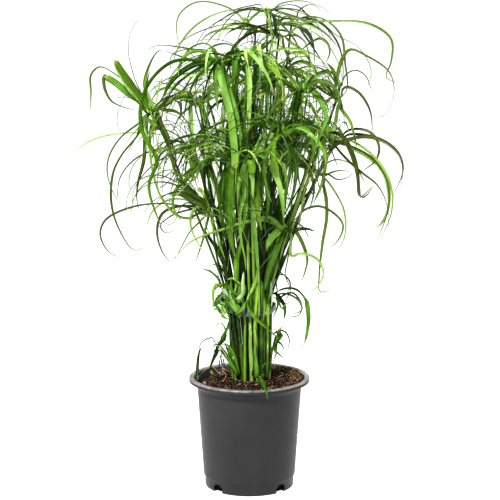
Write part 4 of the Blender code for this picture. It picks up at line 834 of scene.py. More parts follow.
def blade_shares(route):
    """Where a bract has cross-sections, closer together on a long one."""
    spans = 6 if route.length > 0.190 else 5
    if route.length > 0.260:
        spans = 8
    if route.length < 0.080:
        spans = 4
    root = min(0.012 / route.length, 0.15)
    return [root] + [mix(root, 1.0, i / (spans - 1)) for i in range(1, spans - 1)]


def tube_faces(rings, corners):
    """Triangles between the rings of a tube, by the numbers of its points."""
    faces = []
    for first in range(0, (rings - 1) * corners, corners):
        for corner in range(corners):
            a = first + corner
            b = first + (corner + 1) % corners
            faces += [(a, b, b + corners), (a, b + corners, a + corners)]
    return faces


def blade_tree(route, width, whole, grow=BLADE_CLEAR):
    """A search tree of a bract's surface, whole or without its root beside the crown."""
    shares = [0.0] + blade_shares(route) if whole else blade_shares(route)[1:]
    verts = []
    for share in shares:
        section = blade_section(route, share, width, grow)
        verts += [section[side] for side in BLADE_SIDES]
    verts.append(route.frame(1.0)[0])
    last = (len(shares) - 1) * 4
    tip = [(last + corner, last + (corner + 1) % 4, len(verts) - 1) for corner in range(4)]
    return BVHTree.FromPolygons(verts, tube_faces(len(shares), 4) + tip)


def tube_tree(line, radius):
    """A search tree of a six-sided tube round a line."""
    verts = []
    for place in line:
        for corner in range(6):
            angle = corner * math.pi / 3.0
            verts.append(place + Vector((math.cos(angle), math.sin(angle), 0.0)) * radius)
    top = len(verts) - 6
    ends = [tuple(range(6)), tuple(range(top, top + 6))]
    return BVHTree.FromPolygons(verts, tube_faces(len(line), 6) + ends)


def traced_route(hub, leaf, toward, swing, bulge):
    """A bract's line through the places where the photograph shows it."""
    points = [hub + toward * HUB_RADIUS, hub + toward * 0.010]
    lengths = [0.0]
    ahead = seen(hub)
    for place in leaf.places:
        lengths.append(lengths[-1] + math.hypot(place[0] - ahead[0], place[1] - ahead[1]))
        ahead = place[:2]
    for place, length in zip(leaf.places, lengths[1:]):
        part = length / lengths[-1]
        if len(place) == 3:
            depth = place[2]
        else:
            depth = hub.y + leaf.drift * part + swing * math.sin(part * math.pi * 0.5)
            depth += bulge * math.sin(part * math.pi)
        points.append(spot(place[0], place[1], depth))
    return Route(smooth_line(points), leaf.turn)


def arched_route(hub, toward, length, rise, drop, curl, turn):
    """A bract's line that leaves the crown, arches over and hangs."""
    place = hub + toward * HUB_RADIUS
    line = [place.copy()]
    bearing = math.atan2(toward.y, toward.x)
    steps = 22
    for step in range(steps):
        share = (step + 0.5) / steps
        slope = mix(rise, -drop, share ** 1.15)
        heading = bearing + curl * share ** 1.6
        start = ease(share * 7.0)
        ahead = Vector((math.cos(heading) * math.cos(slope),
                        math.sin(heading) * math.cos(slope), math.sin(slope)))
        ahead = (toward * (1.0 - start) + ahead * start).normalized()
        place = place + ahead * (length / steps)
        line.append(place.copy())
    return Route(line, turn)


def around(axis, angle):
    """A direction square to a crown's axis, at an angle round it."""
    side = Vector((1.0, 0.0, 0.0))
    side = (side - axis * side.dot(axis)).normalized()
    return Matrix.Rotation(angle, 3, axis) @ side


def bearing_of(hub, axis, place):
    """The angle round a crown's axis at which a place lies."""
    away = place - hub
    side = around(axis, 0.0)
    front = axis.cross(side)
    return math.atan2(away.dot(front), away.dot(side)) % math.tau


def first_spot(hub, leaf):
    """The place where a bract is first traced."""
    across, down, *depth = leaf.places[0]
    return spot(across, down, depth[0] if depth else hub.y + leaf.drift * 0.25)


def share_out(hub, axis, traced, count):
    """The angle of a crown's first side, and which traced bract each side gets."""
    wanted = [(bearing_of(hub, axis, first_spot(hub, leaf)), number)
              for number, leaf in enumerate(traced)]
    best = None
    for offset in range(12):
        start = offset * math.tau / count / 12
        sides = [start + i * math.tau / count for i in range(count)]
        used = {}
        cost = 0.0
        for angle, number in wanted:
            free = [i for i in range(count) if i not in used]
            near = min(free, key=lambda i: abs((sides[i] - angle + math.pi) % math.tau - math.pi))
            cost += abs((sides[near] - angle + math.pi) % math.tau - math.pi)
            used[near] = number
        if best is None or cost < best[0]:
            best = (cost, start, used)
    return best[1], best[2]


def clear_of(whole, outer, placed, own):
    """Whether a bract touches nothing that is already placed."""
    for owner, other_whole, other_outer in placed:
        if owner == own:
            if outer.overlap(other_outer):
                return False
        elif whole.overlap(other_whole):
            return False
    return True


def choose_route(options, width, placed, own):
    """The first line on which the bract is clear of the rest, or None."""
    for route in options:
        whole = blade_tree(route, width, True)
        outer = blade_tree(route, width, False)
        if clear_of(whole, outer, placed, own):
            placed.append((own, blade_tree(route, width, True, 0.0),
                           blade_tree(route, width, False, 0.0)))
            return route
    return None


# How far a traced bract may swing out of its depth and bulge, to keep clear of the rest
SWINGS = (0.006, 0.012, 0.020, 0.030, 0.042, 0.055, 0.07)
BULGES = (0.010, 0.022)

# How an untraced bract arches: its rise as a share of what the room above it lets, that
# rise with no room, its gain with room and its most, in degrees, then its drop, its length
# and how far it may turn at its root and tip
Arch = namedtuple("Arch", "rise least gain most drop length root_turn tip_turn")
SPARE_ARCH = Arch((0.45, 1.0), 14.0, 420.0, 66.0, (35.0, 105.0), (0.100, 0.215), 40, 90)
FILL_ARCH = Arch((0.5, 1.15), 16.0, 380.0, 70.0, (40.0, 112.0), (0.075, 0.200), 50, 110)
ARCH_CURL = 75.0


def both_ways(sizes):
    """Nothing, then each size one way and the other."""
    yield 0.0
    for size in sizes:
        yield size
        yield -size


def traced_options(hub, leaf, toward):
    """Lines for a traced bract, the one nearest to its own depth first."""
    for swing in both_ways(SWINGS):
        for bulge in both_ways(BULGES):
            yield traced_route(hub, leaf, toward, swing, bulge)


def random_arch(hub, origin, toward, arch, most_curl, chance):
    """A line that rises as far as there is room above the crown, and then hangs."""
    room = max(CANOPY_TOP - hub.z, 0.0)
    rise = chance.uniform(*arch.rise) * min(arch.least + room * arch.gain, arch.most)
    drop = chance.uniform(*arch.drop)
    length = chance.uniform(*arch.length)
    curl = chance.uniform(-most_curl, most_curl)
    turn = (chance.uniform(-arch.root_turn, arch.root_turn),
            chance.uniform(-arch.tip_turn, arch.tip_turn))
    return arched_route(origin, toward, length, math.radians(rise), math.radians(drop),
                        math.radians(curl), turn)


def spare_options(hub, toward, chance):
    """Lines for a bract that is not traced: arching out, then hanging."""
    for _ in range(60):
        route = random_arch(hub, hub, toward, SPARE_ARCH, ARCH_CURL, chance)
        if inside_canopy(route):
            yield route


def inside_canopy(route):
    """Whether a line keeps to the canopy's outline in the photograph and to its depth."""
    for place in route.line[5::3] + [route.line[-1]]:
        if not table(LEFT_EDGE, place.z) < place.x < table(RIGHT_EDGE, place.z):
            return False
        if place.z > CANOPY_TOP or abs(place.y) > CANOPY_DEPTH:
            return False
    return True


def whorl_plan(hub, axis, traced, spare, own, placed, seed):
    """Lines and widths of a whorl's bracts, by the side of the crown they grow from."""
    chance = random.Random(seed)
    count = len(traced) + spare
    start, used = share_out(hub, axis, traced, count)
    plan = {}
    for side in range(count):
        toward = around(axis, start + side * math.tau / count)
        if side in used:
            leaf = traced[used[side]]
            route = choose_route(traced_options(hub, leaf, toward), leaf.width, placed, own)
            if route is not None:
                plan[side] = (route, leaf.width)
    return count, start, plan, chance


def fill_whorl(hub, axis, whorl, own, placed):
    """Add the bracts that are not traced on the sides still free."""
    count, start, plan, chance = whorl
    for side in range(count):
        if side in plan:
            continue
        toward = around(axis, start + side * math.tau / count)
        width = chance.uniform(0.0044, 0.0068)
        route = choose_route(spare_options(hub, toward, chance), width, placed, own)
        if route is not None:
            plan[side] = (route, width)


def crown_axis(line):
    return (line[-1] - line[-2]).normalized()


def fixed_trees(lines, radii):
    """Search trees of the pot, soil and tie as plain rings, and of the culms."""
    trees = []
    for number, (line, radius) in enumerate(zip(lines, radii)):
        top = line[-1] - crown_axis(line) * (HUB_HEIGHT * 0.5)
        trees.append((("culm", number), tube_tree(line[:-1] + [top], radius * 1.15)))
    rings = (((RIM_RADIUS + 0.001, POT_HEIGHT + 0.001), (RIM_RADIUS + 0.001, 0.149)),
             ((0.0, SOIL_TOP + 0.0006), (RIM_RADIUS, SOIL_TOP + 0.0006)),
             ((RIM_INNER_RADIUS - 0.001, POT_HEIGHT + 0.0008),
              (RIM_RADIUS + 0.001, POT_HEIGHT + 0.0008)))
    for number, ring in enumerate(rings):
        trees.append((("ring", number), ring_tree(ring, 1.0, 1.0)))
    wide = TIE_HALF_WIDTH + TIE_THICK
    band = ((1.0, TIE_HEIGHT - TIE_BAND * 0.5 - 0.001),
            (1.0, TIE_HEIGHT + TIE_BAND * 0.5 + 0.0055))
    trees.append((("tie", 0), ring_tree(band, wide + 0.0008,
                                        TIE_HALF_DEPTH + TIE_THICK + 0.0008)))
    return trees


def ring_tree(ring, wide, deep, steps=36):
    """A search tree of a turned strip between two (radius, height) points."""
    verts = []
    faces = []
    for step in range(steps):
        angle = step * math.tau / steps
        for radius, height in ring:
            verts.append(Vector((math.cos(angle) * radius * wide,
                                 math.sin(angle) * radius * deep, height)))
    for step in range(steps):
        a = step * 2
        b = (step + 1) % steps * 2
        faces += [(a, b, b + 1), (a, b + 1, a + 1)]
    return BVHTree.FromPolygons(verts, faces)


def plan_plant():
    """Lines of all the culms, and the whorl on each, clear of one another."""
    lines = []
    for stem in STEMS:
        waist = spot(stem.tie[0], TIE_DOWN, stem.tie[1])
        tie = inside_tie(waist.x, waist.y, stem.thick * 0.5)
        lines.append(plan_stem(stem.crown, tie, stem.path))
    for shoot in SHOOTS:
        lines.append(plan_shoot(shoot))
    radii = [item.thick * 0.5 for item in STEMS + SHOOTS]
    part_stems(lines, radii)
    placed = fixed_trees(lines, radii)
    for number, line in enumerate(lines):
        low = line[-1] - crown_axis(line) * HUB_HEIGHT * 0.5
        high = line[-1] + crown_axis(line) * HUB_HEIGHT * 0.5
        placed.append((("whorl", number), tube_tree([low, high], HUB_RADIUS + 0.0004)))
    placed = [(owner if owner[0] != "culm" or owner[1] < len(STEMS) else ("whorl", owner[1]),
               tree, tree) for owner, tree in placed]
    whorls = []
    for number, line in enumerate(lines):
        if number < len(STEMS):
            traced = TRACED.get(number + 1, ())
            spare = STEMS[number].spare
        else:
            traced = SHOOTS[number - len(STEMS)].leaves
            spare = 1
        whorls.append(whorl_plan(line[-1], crown_axis(line), traced, spare,
                                 ("whorl", number), placed, 100 + number))
    for number, line in enumerate(lines[:len(STEMS)]):
        fill_whorl(line[-1], crown_axis(line), whorls[number], ("whorl", number), placed)
    return lines, whorls


def plan_shoot(shoot):
    """A young shoot's line, from its foot in the soil to its low crown."""
    top = spot(*shoot.crown)
    foot = spot(shoot.foot[0], FOOT_DOWN, shoot.foot[1])
    foot = Vector((foot.x, shoot.foot[1], KNOTS[0]))
    line = [foot]
    for level in KNOTS[1:]:
        if level < top.z - 0.020:
            line.append(foot.lerp(top, (level - foot.z) / (top.z - foot.z)))
    if len(line) == 1 and top.z - foot.z > 0.012:
        line.append(foot.lerp(top, 0.5))
    return line + [top]


def add_object(name, data):
    """An object with the given mesh, light or camera, in the scene."""
    item = bpy.data.objects.new(name, data)
    bpy.context.scene.collection.objects.link(item)
    return item


def from_bmesh(name, bm):
    """An object made of a bmesh, which is freed."""
    mesh = bpy.data.meshes.new(name)
    bm.to_mesh(mesh)
    bm.free()
    return add_object(name, mesh)


class Bank:
    """The growing mesh of one piece: points, faces, marks for its material, sharp edges.

    A mark is (across, along, tint, age), each from 0 to 1.
    """

    def __init__(self):
        self.verts = []
        self.faces = []
        self.marks = []
        self.sharp = []

    def ring(self, places, marks):
        """Add points with their marks, and return their numbers."""
        first = len(self.verts)
        self.verts += places
        self.marks += marks
        return list(range(first, first + len(places)))

    def join(self, low, high):
        """Put faces between two rings."""
        for i in range(len(low)):
            j = (i + 1) % len(low)
            self.faces.append((low[i], high[i], high[j], low[j]))

    def close(self, ring, place, mark, ahead):
        """Close a ring with a point, at its far end or at its near end."""
        tip = self.ring([place], [mark])[0]
        for i in range(len(ring)):
            j = (i + 1) % len(ring)
            self.faces.append((ring[i], tip, ring[j]) if ahead else (ring[j], tip, ring[i]))

    def piece(self, name, material):
        """The finished piece, with one material."""
        mesh = bpy.data.meshes.new(name)
        mesh.from_pydata([tuple(place) for place in self.verts], [], self.faces)
        mesh.materials.append(material)
        marks = mesh.attributes.new("mark", "FLOAT_COLOR", "POINT")
        marks.data.foreach_set("color", [value for mark in self.marks for value in mark])
        mesh.shade_smooth()
        if self.sharp:
            pairs = set(self.sharp)
            flags = [tuple(sorted(edge.vertices)) in pairs for edge in mesh.edges]
            mesh.attributes.new("sharp_edge", "BOOLEAN", "EDGE").data.foreach_set("value", flags)
        mesh.validate()
        return add_object(name, mesh)


def stand_for(item, slot, *nodes):
    """Fix a piece to the part and hide the solids that it stands for; its finish (slot) is not
    used.
    """
    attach(item, "root")
    if nodes:
        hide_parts(*nodes)
    return item


def leaf_width(share, width, blunt):
    """Width of a bract along its length, as the eye sees it."""
    full = width * LEAF_GROW * mix(0.55, 1.0, ease(share / 0.18))
    if blunt:
        return full * max(1.0 - max(share - 0.97, 0.0) / 0.03, 0.0) ** 0.5
    return full * max(1.0 - share ** 2.6, 0.0) ** 0.80


LEAF_GROW = 1.15
LEAF_LEVELS = ((-1.0, 1.0), (-0.52, 0.40), (0.0, 0.0), (0.52, 0.40), (1.0, 1.0))
LEAF_THICK = 0.00032
LEAF_STEP = 0.0055


def add_leaf(bank, route, width, tint, chance, blunt=False, age=0.0):
    """A bract: a thin folded blade, with a keel, that flattens towards its tip."""
    count = min(max(round(route.length / LEAF_STEP), 10), 46)
    wave = chance.uniform(0.0, math.tau)
    twist = chance.uniform(4.0, 12.0)
    low = None
    for step in range(count):
        share = step / count
        place, heading, side = route.frame(share)
        sway = math.radians(twist * math.sin(wave + share * 9.0))
        side = Matrix.Rotation(sway, 3, heading) @ side
        up = heading.cross(side)
        wide = max(leaf_width(share, width, blunt) * 0.5, 0.00055)
        lift = wide * mix(0.85, 0.22, ease(share * 1.6))
        thick = min(LEAF_THICK, wide * 0.6)
        top = [place + side * (a * wide) + up * (b * lift) for a, b in LEAF_LEVELS]
        under = [point - up * thick for point in top[3:0:-1]]
        marks = [((a + 1.0) * 0.5, share, tint, age) for a, _ in LEAF_LEVELS]
        marks += [(mark[0], share, tint, age) for mark in marks[3:0:-1]]
        ring = bank.ring(top + under, marks)
        if low is None:
            bank.faces.append(tuple(ring))
        else:
            bank.join(low, ring)
            bank.sharp += [(low[0], ring[0]), (low[4], ring[4])]
        low = ring
    bank.close(low, route.frame(1.0)[0], (0.5, 1.0, tint, age), True)


def add_tube(bank, line, radius, sides, tint, age=0.0, lobes=0.0, stretch=0.006, slant=0.0,
             marks_from=0.0):
    """A tube along a line, bluntly three-sided if it has lobes, closed at both ends."""
    route = Route(line)
    count = min(max(round(route.length / stretch), 2), 90)
    low = None
    for step in range(count + 1):
        share = step / count
        place, heading, side = route.frame(share)
        up = heading.cross(side)
        places = []
        marks = []
        for corner in range(sides):
            angle = -corner * math.tau / sides
            far = radius(share) * (1.0 + lobes * math.cos(3.0 * angle))
            lean = heading * (slant * share * math.cos(angle + 1.0))
            places.append(place + (side * math.cos(angle) + up * math.sin(angle)) * far + lean)
            marks.append((abs(2.0 * corner / sides - 1.0), mix(marks_from, 1.0, share), tint, age))
        ring = bank.ring(places, marks)
        if low is None:
            bank.close(ring, place, (0.5, marks_from, tint, age), False)
        else:
            bank.join(low, ring)
        low = ring
    bank.close(low, route.frame(1.0)[0], (0.5, 1.0, tint, age), True)


def shown_line(places, fine=5):
    """A smooth line through places of the photograph, as (across, down, depth)."""
    return smooth_line([spot(*place) for place in places], fine)


def cut_line(line, low, high):
    """The stretch of a culm's line between two heights."""
    points = [line_at(line, low)[0]]
    points += [place for place in line if low < place.z < high]
    return points + [line_at(line, high)[0]]


# Plain node helpers
def put(tree, socket, value):
    """Link a socket to an output, or set it to a value."""
    if isinstance(value, bpy.types.NodeSocket):
        tree.links.new(value, socket)
    else:
        socket.default_value = value


def node(tree, kind, props=(), **inputs):
    """A node with its settings, and its inputs by number (i0, i1) or by name."""
    item = tree.nodes.new(kind)
    for name, value in dict(props).items():
        setattr(item, name, value)
    for name, value in inputs.items():
        key = int(name[1:]) if name[1:].isdigit() else name
        put(tree, item.inputs[key], value)
    return item


def calc(tree, operation, first, second=0.0, third=0.0, clamp=False):
    item = node(tree, "ShaderNodeMath", {"operation": operation, "use_clamp": clamp},
                i0=first, i1=second, i2=third)
    return item.outputs[0]


def times(tree, first, second):
    return calc(tree, "MULTIPLY", first, second)


def scaled(tree, value, rise, start, clamp=False):
    """A value times rise plus start, kept from 0 to 1 if asked."""
    return calc(tree, "MULTIPLY_ADD", value, rise, start, clamp)


def opaque(color):
    """A plain colour with full alpha, or the output that gives a colour."""
    return (*color, 1.0) if isinstance(color, tuple) else color


def blend_colors(tree, factor, first, second, kind="MIX"):
    item = node(tree, "ShaderNodeMix", {"data_type": "RGBA", "blend_type": kind},
                i0=factor, i6=opaque(first), i7=opaque(second))
    return item.outputs[2]


def ramp(tree, factor, stops):
    item = node(tree, "ShaderNodeValToRGB", i0=factor)
    elements = item.color_ramp.elements
    while len(elements) < len(stops):
        elements.new(0.5)
    for element, (position, color) in zip(elements, stops):
        element.position = position
        element.color = (*color, 1.0)
    return item.outputs[0]


def noise_at(tree, scale, detail=3.0, stretch=(1.0, 1.0, 1.0), roughness=0.55):
    place = node(tree, "ShaderNodeTexCoord").outputs["Object"]
    place = node(tree, "ShaderNodeMapping", i0=place, i3=stretch).outputs[0]
    item = node(tree, "ShaderNodeTexNoise", Vector=place, Scale=scale, Detail=detail,
                Roughness=roughness)
    return item.outputs[0]


def marks_of(tree):
    """The marks of the shaded point: across, along, tint and age."""
    mark = node(tree, "ShaderNodeAttribute", {"attribute_name": "mark"})
    parts = node(tree, "ShaderNodeSeparateColor", i0=mark.outputs["Color"])
    return parts.outputs[0], parts.outputs[1], parts.outputs[2], mark.outputs["Alpha"]


def own_height(tree):
    """Height of the shaded point."""
    place = node(tree, "ShaderNodeTexCoord").outputs["Object"]
    return node(tree, "ShaderNodeSeparateXYZ", i0=place).outputs[2]


def clouded(tree, tint, cloud, much):
    """A tint that a noise makes lighter here and darker there."""
    return scaled(tree, calc(tree, "SUBTRACT", cloud, 0.5), much, tint)


def new_material(name):
    material = bpy.data.materials.new(name)
    material.use_nodes = True
    tree = material.node_tree
    return material, tree, tree.nodes["Principled BSDF"]


def surface(tree, shader, color, rough, shine, bumps):
    """Give a shader its colour, roughness, shine and bumps of (strength, depth, height)."""
    strength, depth, height = bumps
    bump = node(tree, "ShaderNodeBump", Strength=strength, Distance=depth, Height=height)
    values = (("Base Color", color), ("Roughness", rough), ("Specular IOR Level", shine),
              ("Normal", bump.outputs[0]))
    for name, value in values:
        put(tree, shader.inputs[name], value)


# What greens are multiplied by where they are warm, between veins and lit from behind
WARM = (1.06, 1.04, 0.35)
VEIN_SHADE = (0.62, 0.70, 0.55)
LIT_THROUGH = (1.55, 1.45, 0.60)

SPECKS = (0.24, 0.30, 0.07)
DRY_LEAF = (0.26, 0.17, 0.06)
# The lightest stop of each green is whitened past living green, as a painted highlight.
BRACT_GREENS = ((0.00, (0.0035, 0.019, 0.0006)), (0.25, (0.027, 0.090, 0.0030)),
                (0.50, (0.088, 0.205, 0.013)), (0.75, (0.215, 0.370, 0.085)),
                (1.00, (0.450, 0.610, 0.300)))
CULM_GREENS = ((0.00, (0.0008, 0.005, 0.0003)), (0.30, (0.013, 0.046, 0.0012)),
               (0.60, (0.064, 0.155, 0.010)), (0.80, (0.155, 0.270, 0.040)),
               (1.00, (0.330, 0.460, 0.160)))


def warmed(tree, color, tint):
    """Some of the greens made warmer, picked by a lot drawn from the tint."""
    warm = blend_colors(tree, 1.0, color, WARM, "MULTIPLY")
    lot = calc(tree, "FRACT", times(tree, tint, 37.0))
    return blend_colors(tree, scaled(tree, lot, 3.0, -1.5, True), color, warm)


def let_through(tree, shader, color, share):
    """Mix in the light that comes through a thin leaf."""
    lit = blend_colors(tree, 1.0, color, LIT_THROUGH, "MULTIPLY")
    glow = node(tree, "ShaderNodeBsdfTranslucent", Color=lit)
    both = node(tree, "ShaderNodeMixShader", i0=share, i1=shader.outputs[0], i2=glow.outputs[0])
    put(tree, tree.nodes["Material Output"].inputs["Surface"], both.outputs[0])


def plant_material(name, stops, veins, pale, through=0.0, keel=0.0):
    """Living green: a colour by tint, fine veins, a pale keel line (partly the paler midrib,
    partly a painted highlight), a pale root, a dry tip, light let through.
    """
    material, tree, shader = new_material(name)
    across, along, tint, age = marks_of(tree)
    cloud = noise_at(tree, 55.0, 4.0)
    fine = noise_at(tree, 420.0, 2.0, (1.0, 1.0, 0.25))
    color = warmed(tree, ramp(tree, clouded(tree, tint, cloud, 0.42), stops), tint)
    stripe = scaled(tree, calc(tree, "SINE", times(tree, across, math.tau * veins)), 0.5, 0.5)
    dark = blend_colors(tree, 1.0, color, VEIN_SHADE, "MULTIPLY")
    color = blend_colors(tree, times(tree, stripe, 0.45), color, dark)
    # Pale line along the keel: partly the paler midrib, partly a painted highlight.
    if keel:
        off = calc(tree, "ABSOLUTE", calc(tree, "SUBTRACT", across, 0.5))
        near = scaled(tree, off, -12.0, 1.0, True)
        color = blend_colors(tree, times(tree, near, keel), color, pale)
    color = blend_colors(tree, scaled(tree, along, -9.0, 0.75, True), color, pale)
    spots = calc(tree, "GREATER_THAN", fine, 0.60)
    color = blend_colors(tree, times(tree, spots, 0.10), color, SPECKS)
    end = times(tree, scaled(tree, along, 9.0, -8.1, True), scaled(tree, cloud, 1.6, -0.25, True))
    dry = calc(tree, "MAXIMUM", times(tree, end, 1.0 if through else 0.2), age)
    color = blend_colors(tree, dry, color, DRY_LEAF)
    height = calc(tree, "ADD", times(tree, stripe, 0.7), fine)
    surface(tree, shader, color, scaled(tree, cloud, 0.22, 0.31), 0.14, (0.30, 0.0003, height))
    if through:
        let_through(tree, shader, color, through)
    return material


PLASTIC = ((0.30, (0.0085, 0.0080, 0.0085)), (0.70, (0.014, 0.013, 0.014)))
FLOW_STREAK = (0.022, 0.021, 0.022)
DUST = (0.052, 0.047, 0.044)
# Lighter colour of the rim's top, partly wear and partly a painted highlight, and the height and
# rise over which it comes in
RIM_WEAR_AND_HIGHLIGHT = (0.210, 0.195, 0.185)
WEAR_AND_HIGHLIGHT_HEIGHT = POT_HEIGHT - 0.0026
WEAR_AND_HIGHLIGHT_RISE = 0.0016


def plastic_material():
    """Dark moulded plastic: satin, with faint scuffs, dust, flow streaks, and a rim top painted
    lighter, for wear and as a painted highlight.
    """
    material, tree, shader = new_material("moulded pot plastic")
    cloud = noise_at(tree, 16.0, 5.0)
    streak = noise_at(tree, 60.0, 3.0, (1.0, 1.0, 0.06))
    grain = noise_at(tree, 1500.0, 2.0)
    scuff = noise_at(tree, 90.0, 6.0, (1.0, 1.0, 2.5), 0.75)
    color = blend_colors(tree, times(tree, streak, 0.30), ramp(tree, cloud, PLASTIC), FLOW_STREAK)
    dust = scaled(tree, scuff, 5.0, -3.0, True)
    color = blend_colors(tree, times(tree, dust, 0.35), color, DUST)
    # The rim's top is lighter: partly wear and dust, partly a painted highlight.
    edge = scaled(tree, own_height(tree), 1.0 / WEAR_AND_HIGHLIGHT_RISE, -WEAR_AND_HIGHLIGHT_HEIGHT / WEAR_AND_HIGHLIGHT_RISE, True)
    wear_and_lit = scaled(tree, scuff, 2.4, -0.55, True)
    color = blend_colors(tree, times(tree, edge, wear_and_lit), color, RIM_WEAR_AND_HIGHLIGHT)
    height = scaled(tree, grain, 0.25, times(tree, streak, 1.2))
    surface(tree, shader, color, scaled(tree, scuff, 0.26, 0.34), 0.30, (0.22, 0.0004, height))
    return material


# The darkest peat colour, also used as painted shade low in the pot
DARK_PEAT_AND_SHADE = (0.002, 0.0015, 0.001)
PEAT = ((0.40, DARK_PEAT_AND_SHADE), (0.58, (0.010, 0.006, 0.004)), (0.75, (0.060, 0.034, 0.022)))
CRUMB_BROWNS = ((0.0, DARK_PEAT_AND_SHADE), (0.5, (0.030, 0.016, 0.011)), (0.85, (0.088, 0.047, 0.031)),
                (1.0, (0.220, 0.145, 0.100)))
FIBRE_BROWNS = ((0.0, (0.060, 0.035, 0.018)), (0.6, (0.240, 0.160, 0.080)),
                (1.0, (0.420, 0.310, 0.160)))


def soil_material():
    """Dark damp peat under the loose crumbs, painted near-black below 0.10 m as shade inside the
    drain notches.
    """
    material, tree, shader = new_material("potting soil")
    lump = noise_at(tree, 260.0, 6.0, roughness=0.7)
    patch = noise_at(tree, 34.0, 3.0)
    color = ramp(tree, scaled(tree, patch, 0.5, times(tree, lump, 0.6)), PEAT)
    # Painted shade: below 0.10 m the peat is near-black, for the insides of the drain notches.
    painted_notch_shade = calc(tree, "LESS_THAN", own_height(tree), 0.10)
    color = blend_colors(tree, painted_notch_shade, color, DARK_PEAT_AND_SHADE)
    surface(tree, shader, color, 0.95, 0.05, (0.9, 0.0012, lump))
    return material


def litter_material(name, stops, rough):
    """Loose bits of the soil, each with the colour of its own tint."""
    material, tree, shader = new_material(name)
    lump = noise_at(tree, 900.0, 4.0)
    color = ramp(tree, clouded(tree, marks_of(tree)[2], lump, 0.35), stops)
    surface(tree, shader, color, scaled(tree, lump, 0.2, rough), 0.08, (0.7, 0.0005, lump))
    return material


STRAP = ((0.10, (0.003, 0.005, 0.004)), (0.40, (0.030, 0.042, 0.038)),
         (0.65, (0.078, 0.112, 0.078)), (0.95, (0.210, 0.270, 0.190)))
STRAP_GROOVE = (0.016, 0.024, 0.020)
STRAP_RIBS = 14.0


def strap_material():
    """Dark grey-green soft strap with fine ribs along it."""
    material, tree, shader = new_material("tie strap")
    across, _, tint, _ = marks_of(tree)
    rib = calc(tree, "SINE", times(tree, across, math.tau * STRAP_RIBS))
    cloud = noise_at(tree, 120.0, 4.0)
    color = ramp(tree, clouded(tree, tint, cloud, 0.5), STRAP)
    color = blend_colors(tree, scaled(tree, rib, 0.12, 0.12), color, STRAP_GROOVE)
    height = scaled(tree, rib, 0.5, cloud)
    surface(tree, shader, color, scaled(tree, cloud, 0.25, 0.45), 0.30, (0.4, 0.0003, height))
    shader.inputs["Sheen Weight"].default_value = 0.15
    return material


GROOVE_HEIGHT = 0.1262
GROOVE_DEPTH = 0.00010


def pot_profile():
    """The pot's section, outer side from the rim down, then the inside up again."""
    lip = POT_HEIGHT - RIM_LIP
    outer = [(RIM_INNER_RADIUS, POT_HEIGHT - 0.0006), (RIM_INNER_RADIUS + 0.0006, POT_HEIGHT)]
    for turn in (0.0, 0.4, 0.8, 1.2, math.pi / 2):
        outer.append((RIM_RADIUS - LIP_ROUND + LIP_ROUND * math.sin(turn),
                      POT_HEIGHT - LIP_ROUND + LIP_ROUND * math.cos(turn)))
    outer += [(RIM_RADIUS, POT_HEIGHT - 0.0022), (RIM_RADIUS - 0.0005, POT_HEIGHT - 0.0027),
              (RIM_RADIUS - 0.0005, POT_HEIGHT - 0.0031), (RIM_RADIUS, POT_HEIGHT - 0.0036),
              (RIM_RADIUS, lip + 0.0012), (RIM_RADIUS - 0.0003, lip + 0.0004),
              (RIM_RADIUS - 0.0011, lip), (RIM_RADIUS - 0.0022, lip + 0.0004),
              (RIM_RADIUS - 0.0034, lip + 0.0004), (RIM_INNER_RADIUS + 0.0012, lip - 0.0006),
              (RIM_INNER_RADIUS - 0.0006, lip - 0.0022),
              (WALL_TOP_RADIUS + 0.0006, WALL_TOP_HEIGHT + 0.0008),
              (WALL_TOP_RADIUS - 0.0001, WALL_TOP_HEIGHT - 0.0006)]
    for height in (0.1420, 0.1360):
        outer.append((wall_radius(height), height))
    for rise, share in ((0.0030, 0.0), (0.0012, 0.0), (0.0005, 1.0), (-0.0005, 1.0),
                        (-0.0012, 0.0), (-0.0030, 0.0)):
        outer.append((wall_radius(GROOVE_HEIGHT + rise) - GROOVE_DEPTH * share,
                      GROOVE_HEIGHT + rise))
    for height in (0.1100, 0.0800, 0.0500, 0.0250, 0.0190):
        outer.append((wall_radius(height), height))
    outer += [(WALL_FOOT_RADIUS + 0.0001, FOOT_STEP_HEIGHT + 0.0006),
              (WALL_FOOT_RADIUS - 0.0003, FOOT_STEP_HEIGHT - 0.0002),
              (FOOT_RADIUS + 0.0010, FOOT_STEP_HEIGHT - 0.0010),
              (FOOT_RADIUS + 0.0005, FOOT_STEP_HEIGHT - 0.0022), (FOOT_RADIUS + 0.0001, 0.0012),
              (FOOT_RADIUS - 0.0003, 0.0003), (FOOT_RADIUS - 0.0009, 0.0), (0.0, 0.0)]
    heights = (FLOOR, FOOT_STEP_HEIGHT + 0.002, WALL_TOP_HEIGHT + 0.001, POT_HEIGHT - 0.006)
    return outer + [(0.0, FLOOR)] + [(pot_inner_radius(height), height) for height in heights]


def wall_radius(height):
    """Outer radius of the pot's wall."""
    return mix(WALL_FOOT_RADIUS, WALL_TOP_RADIUS,
               (height - FOOT_STEP_HEIGHT) / (WALL_TOP_HEIGHT - FOOT_STEP_HEIGHT))


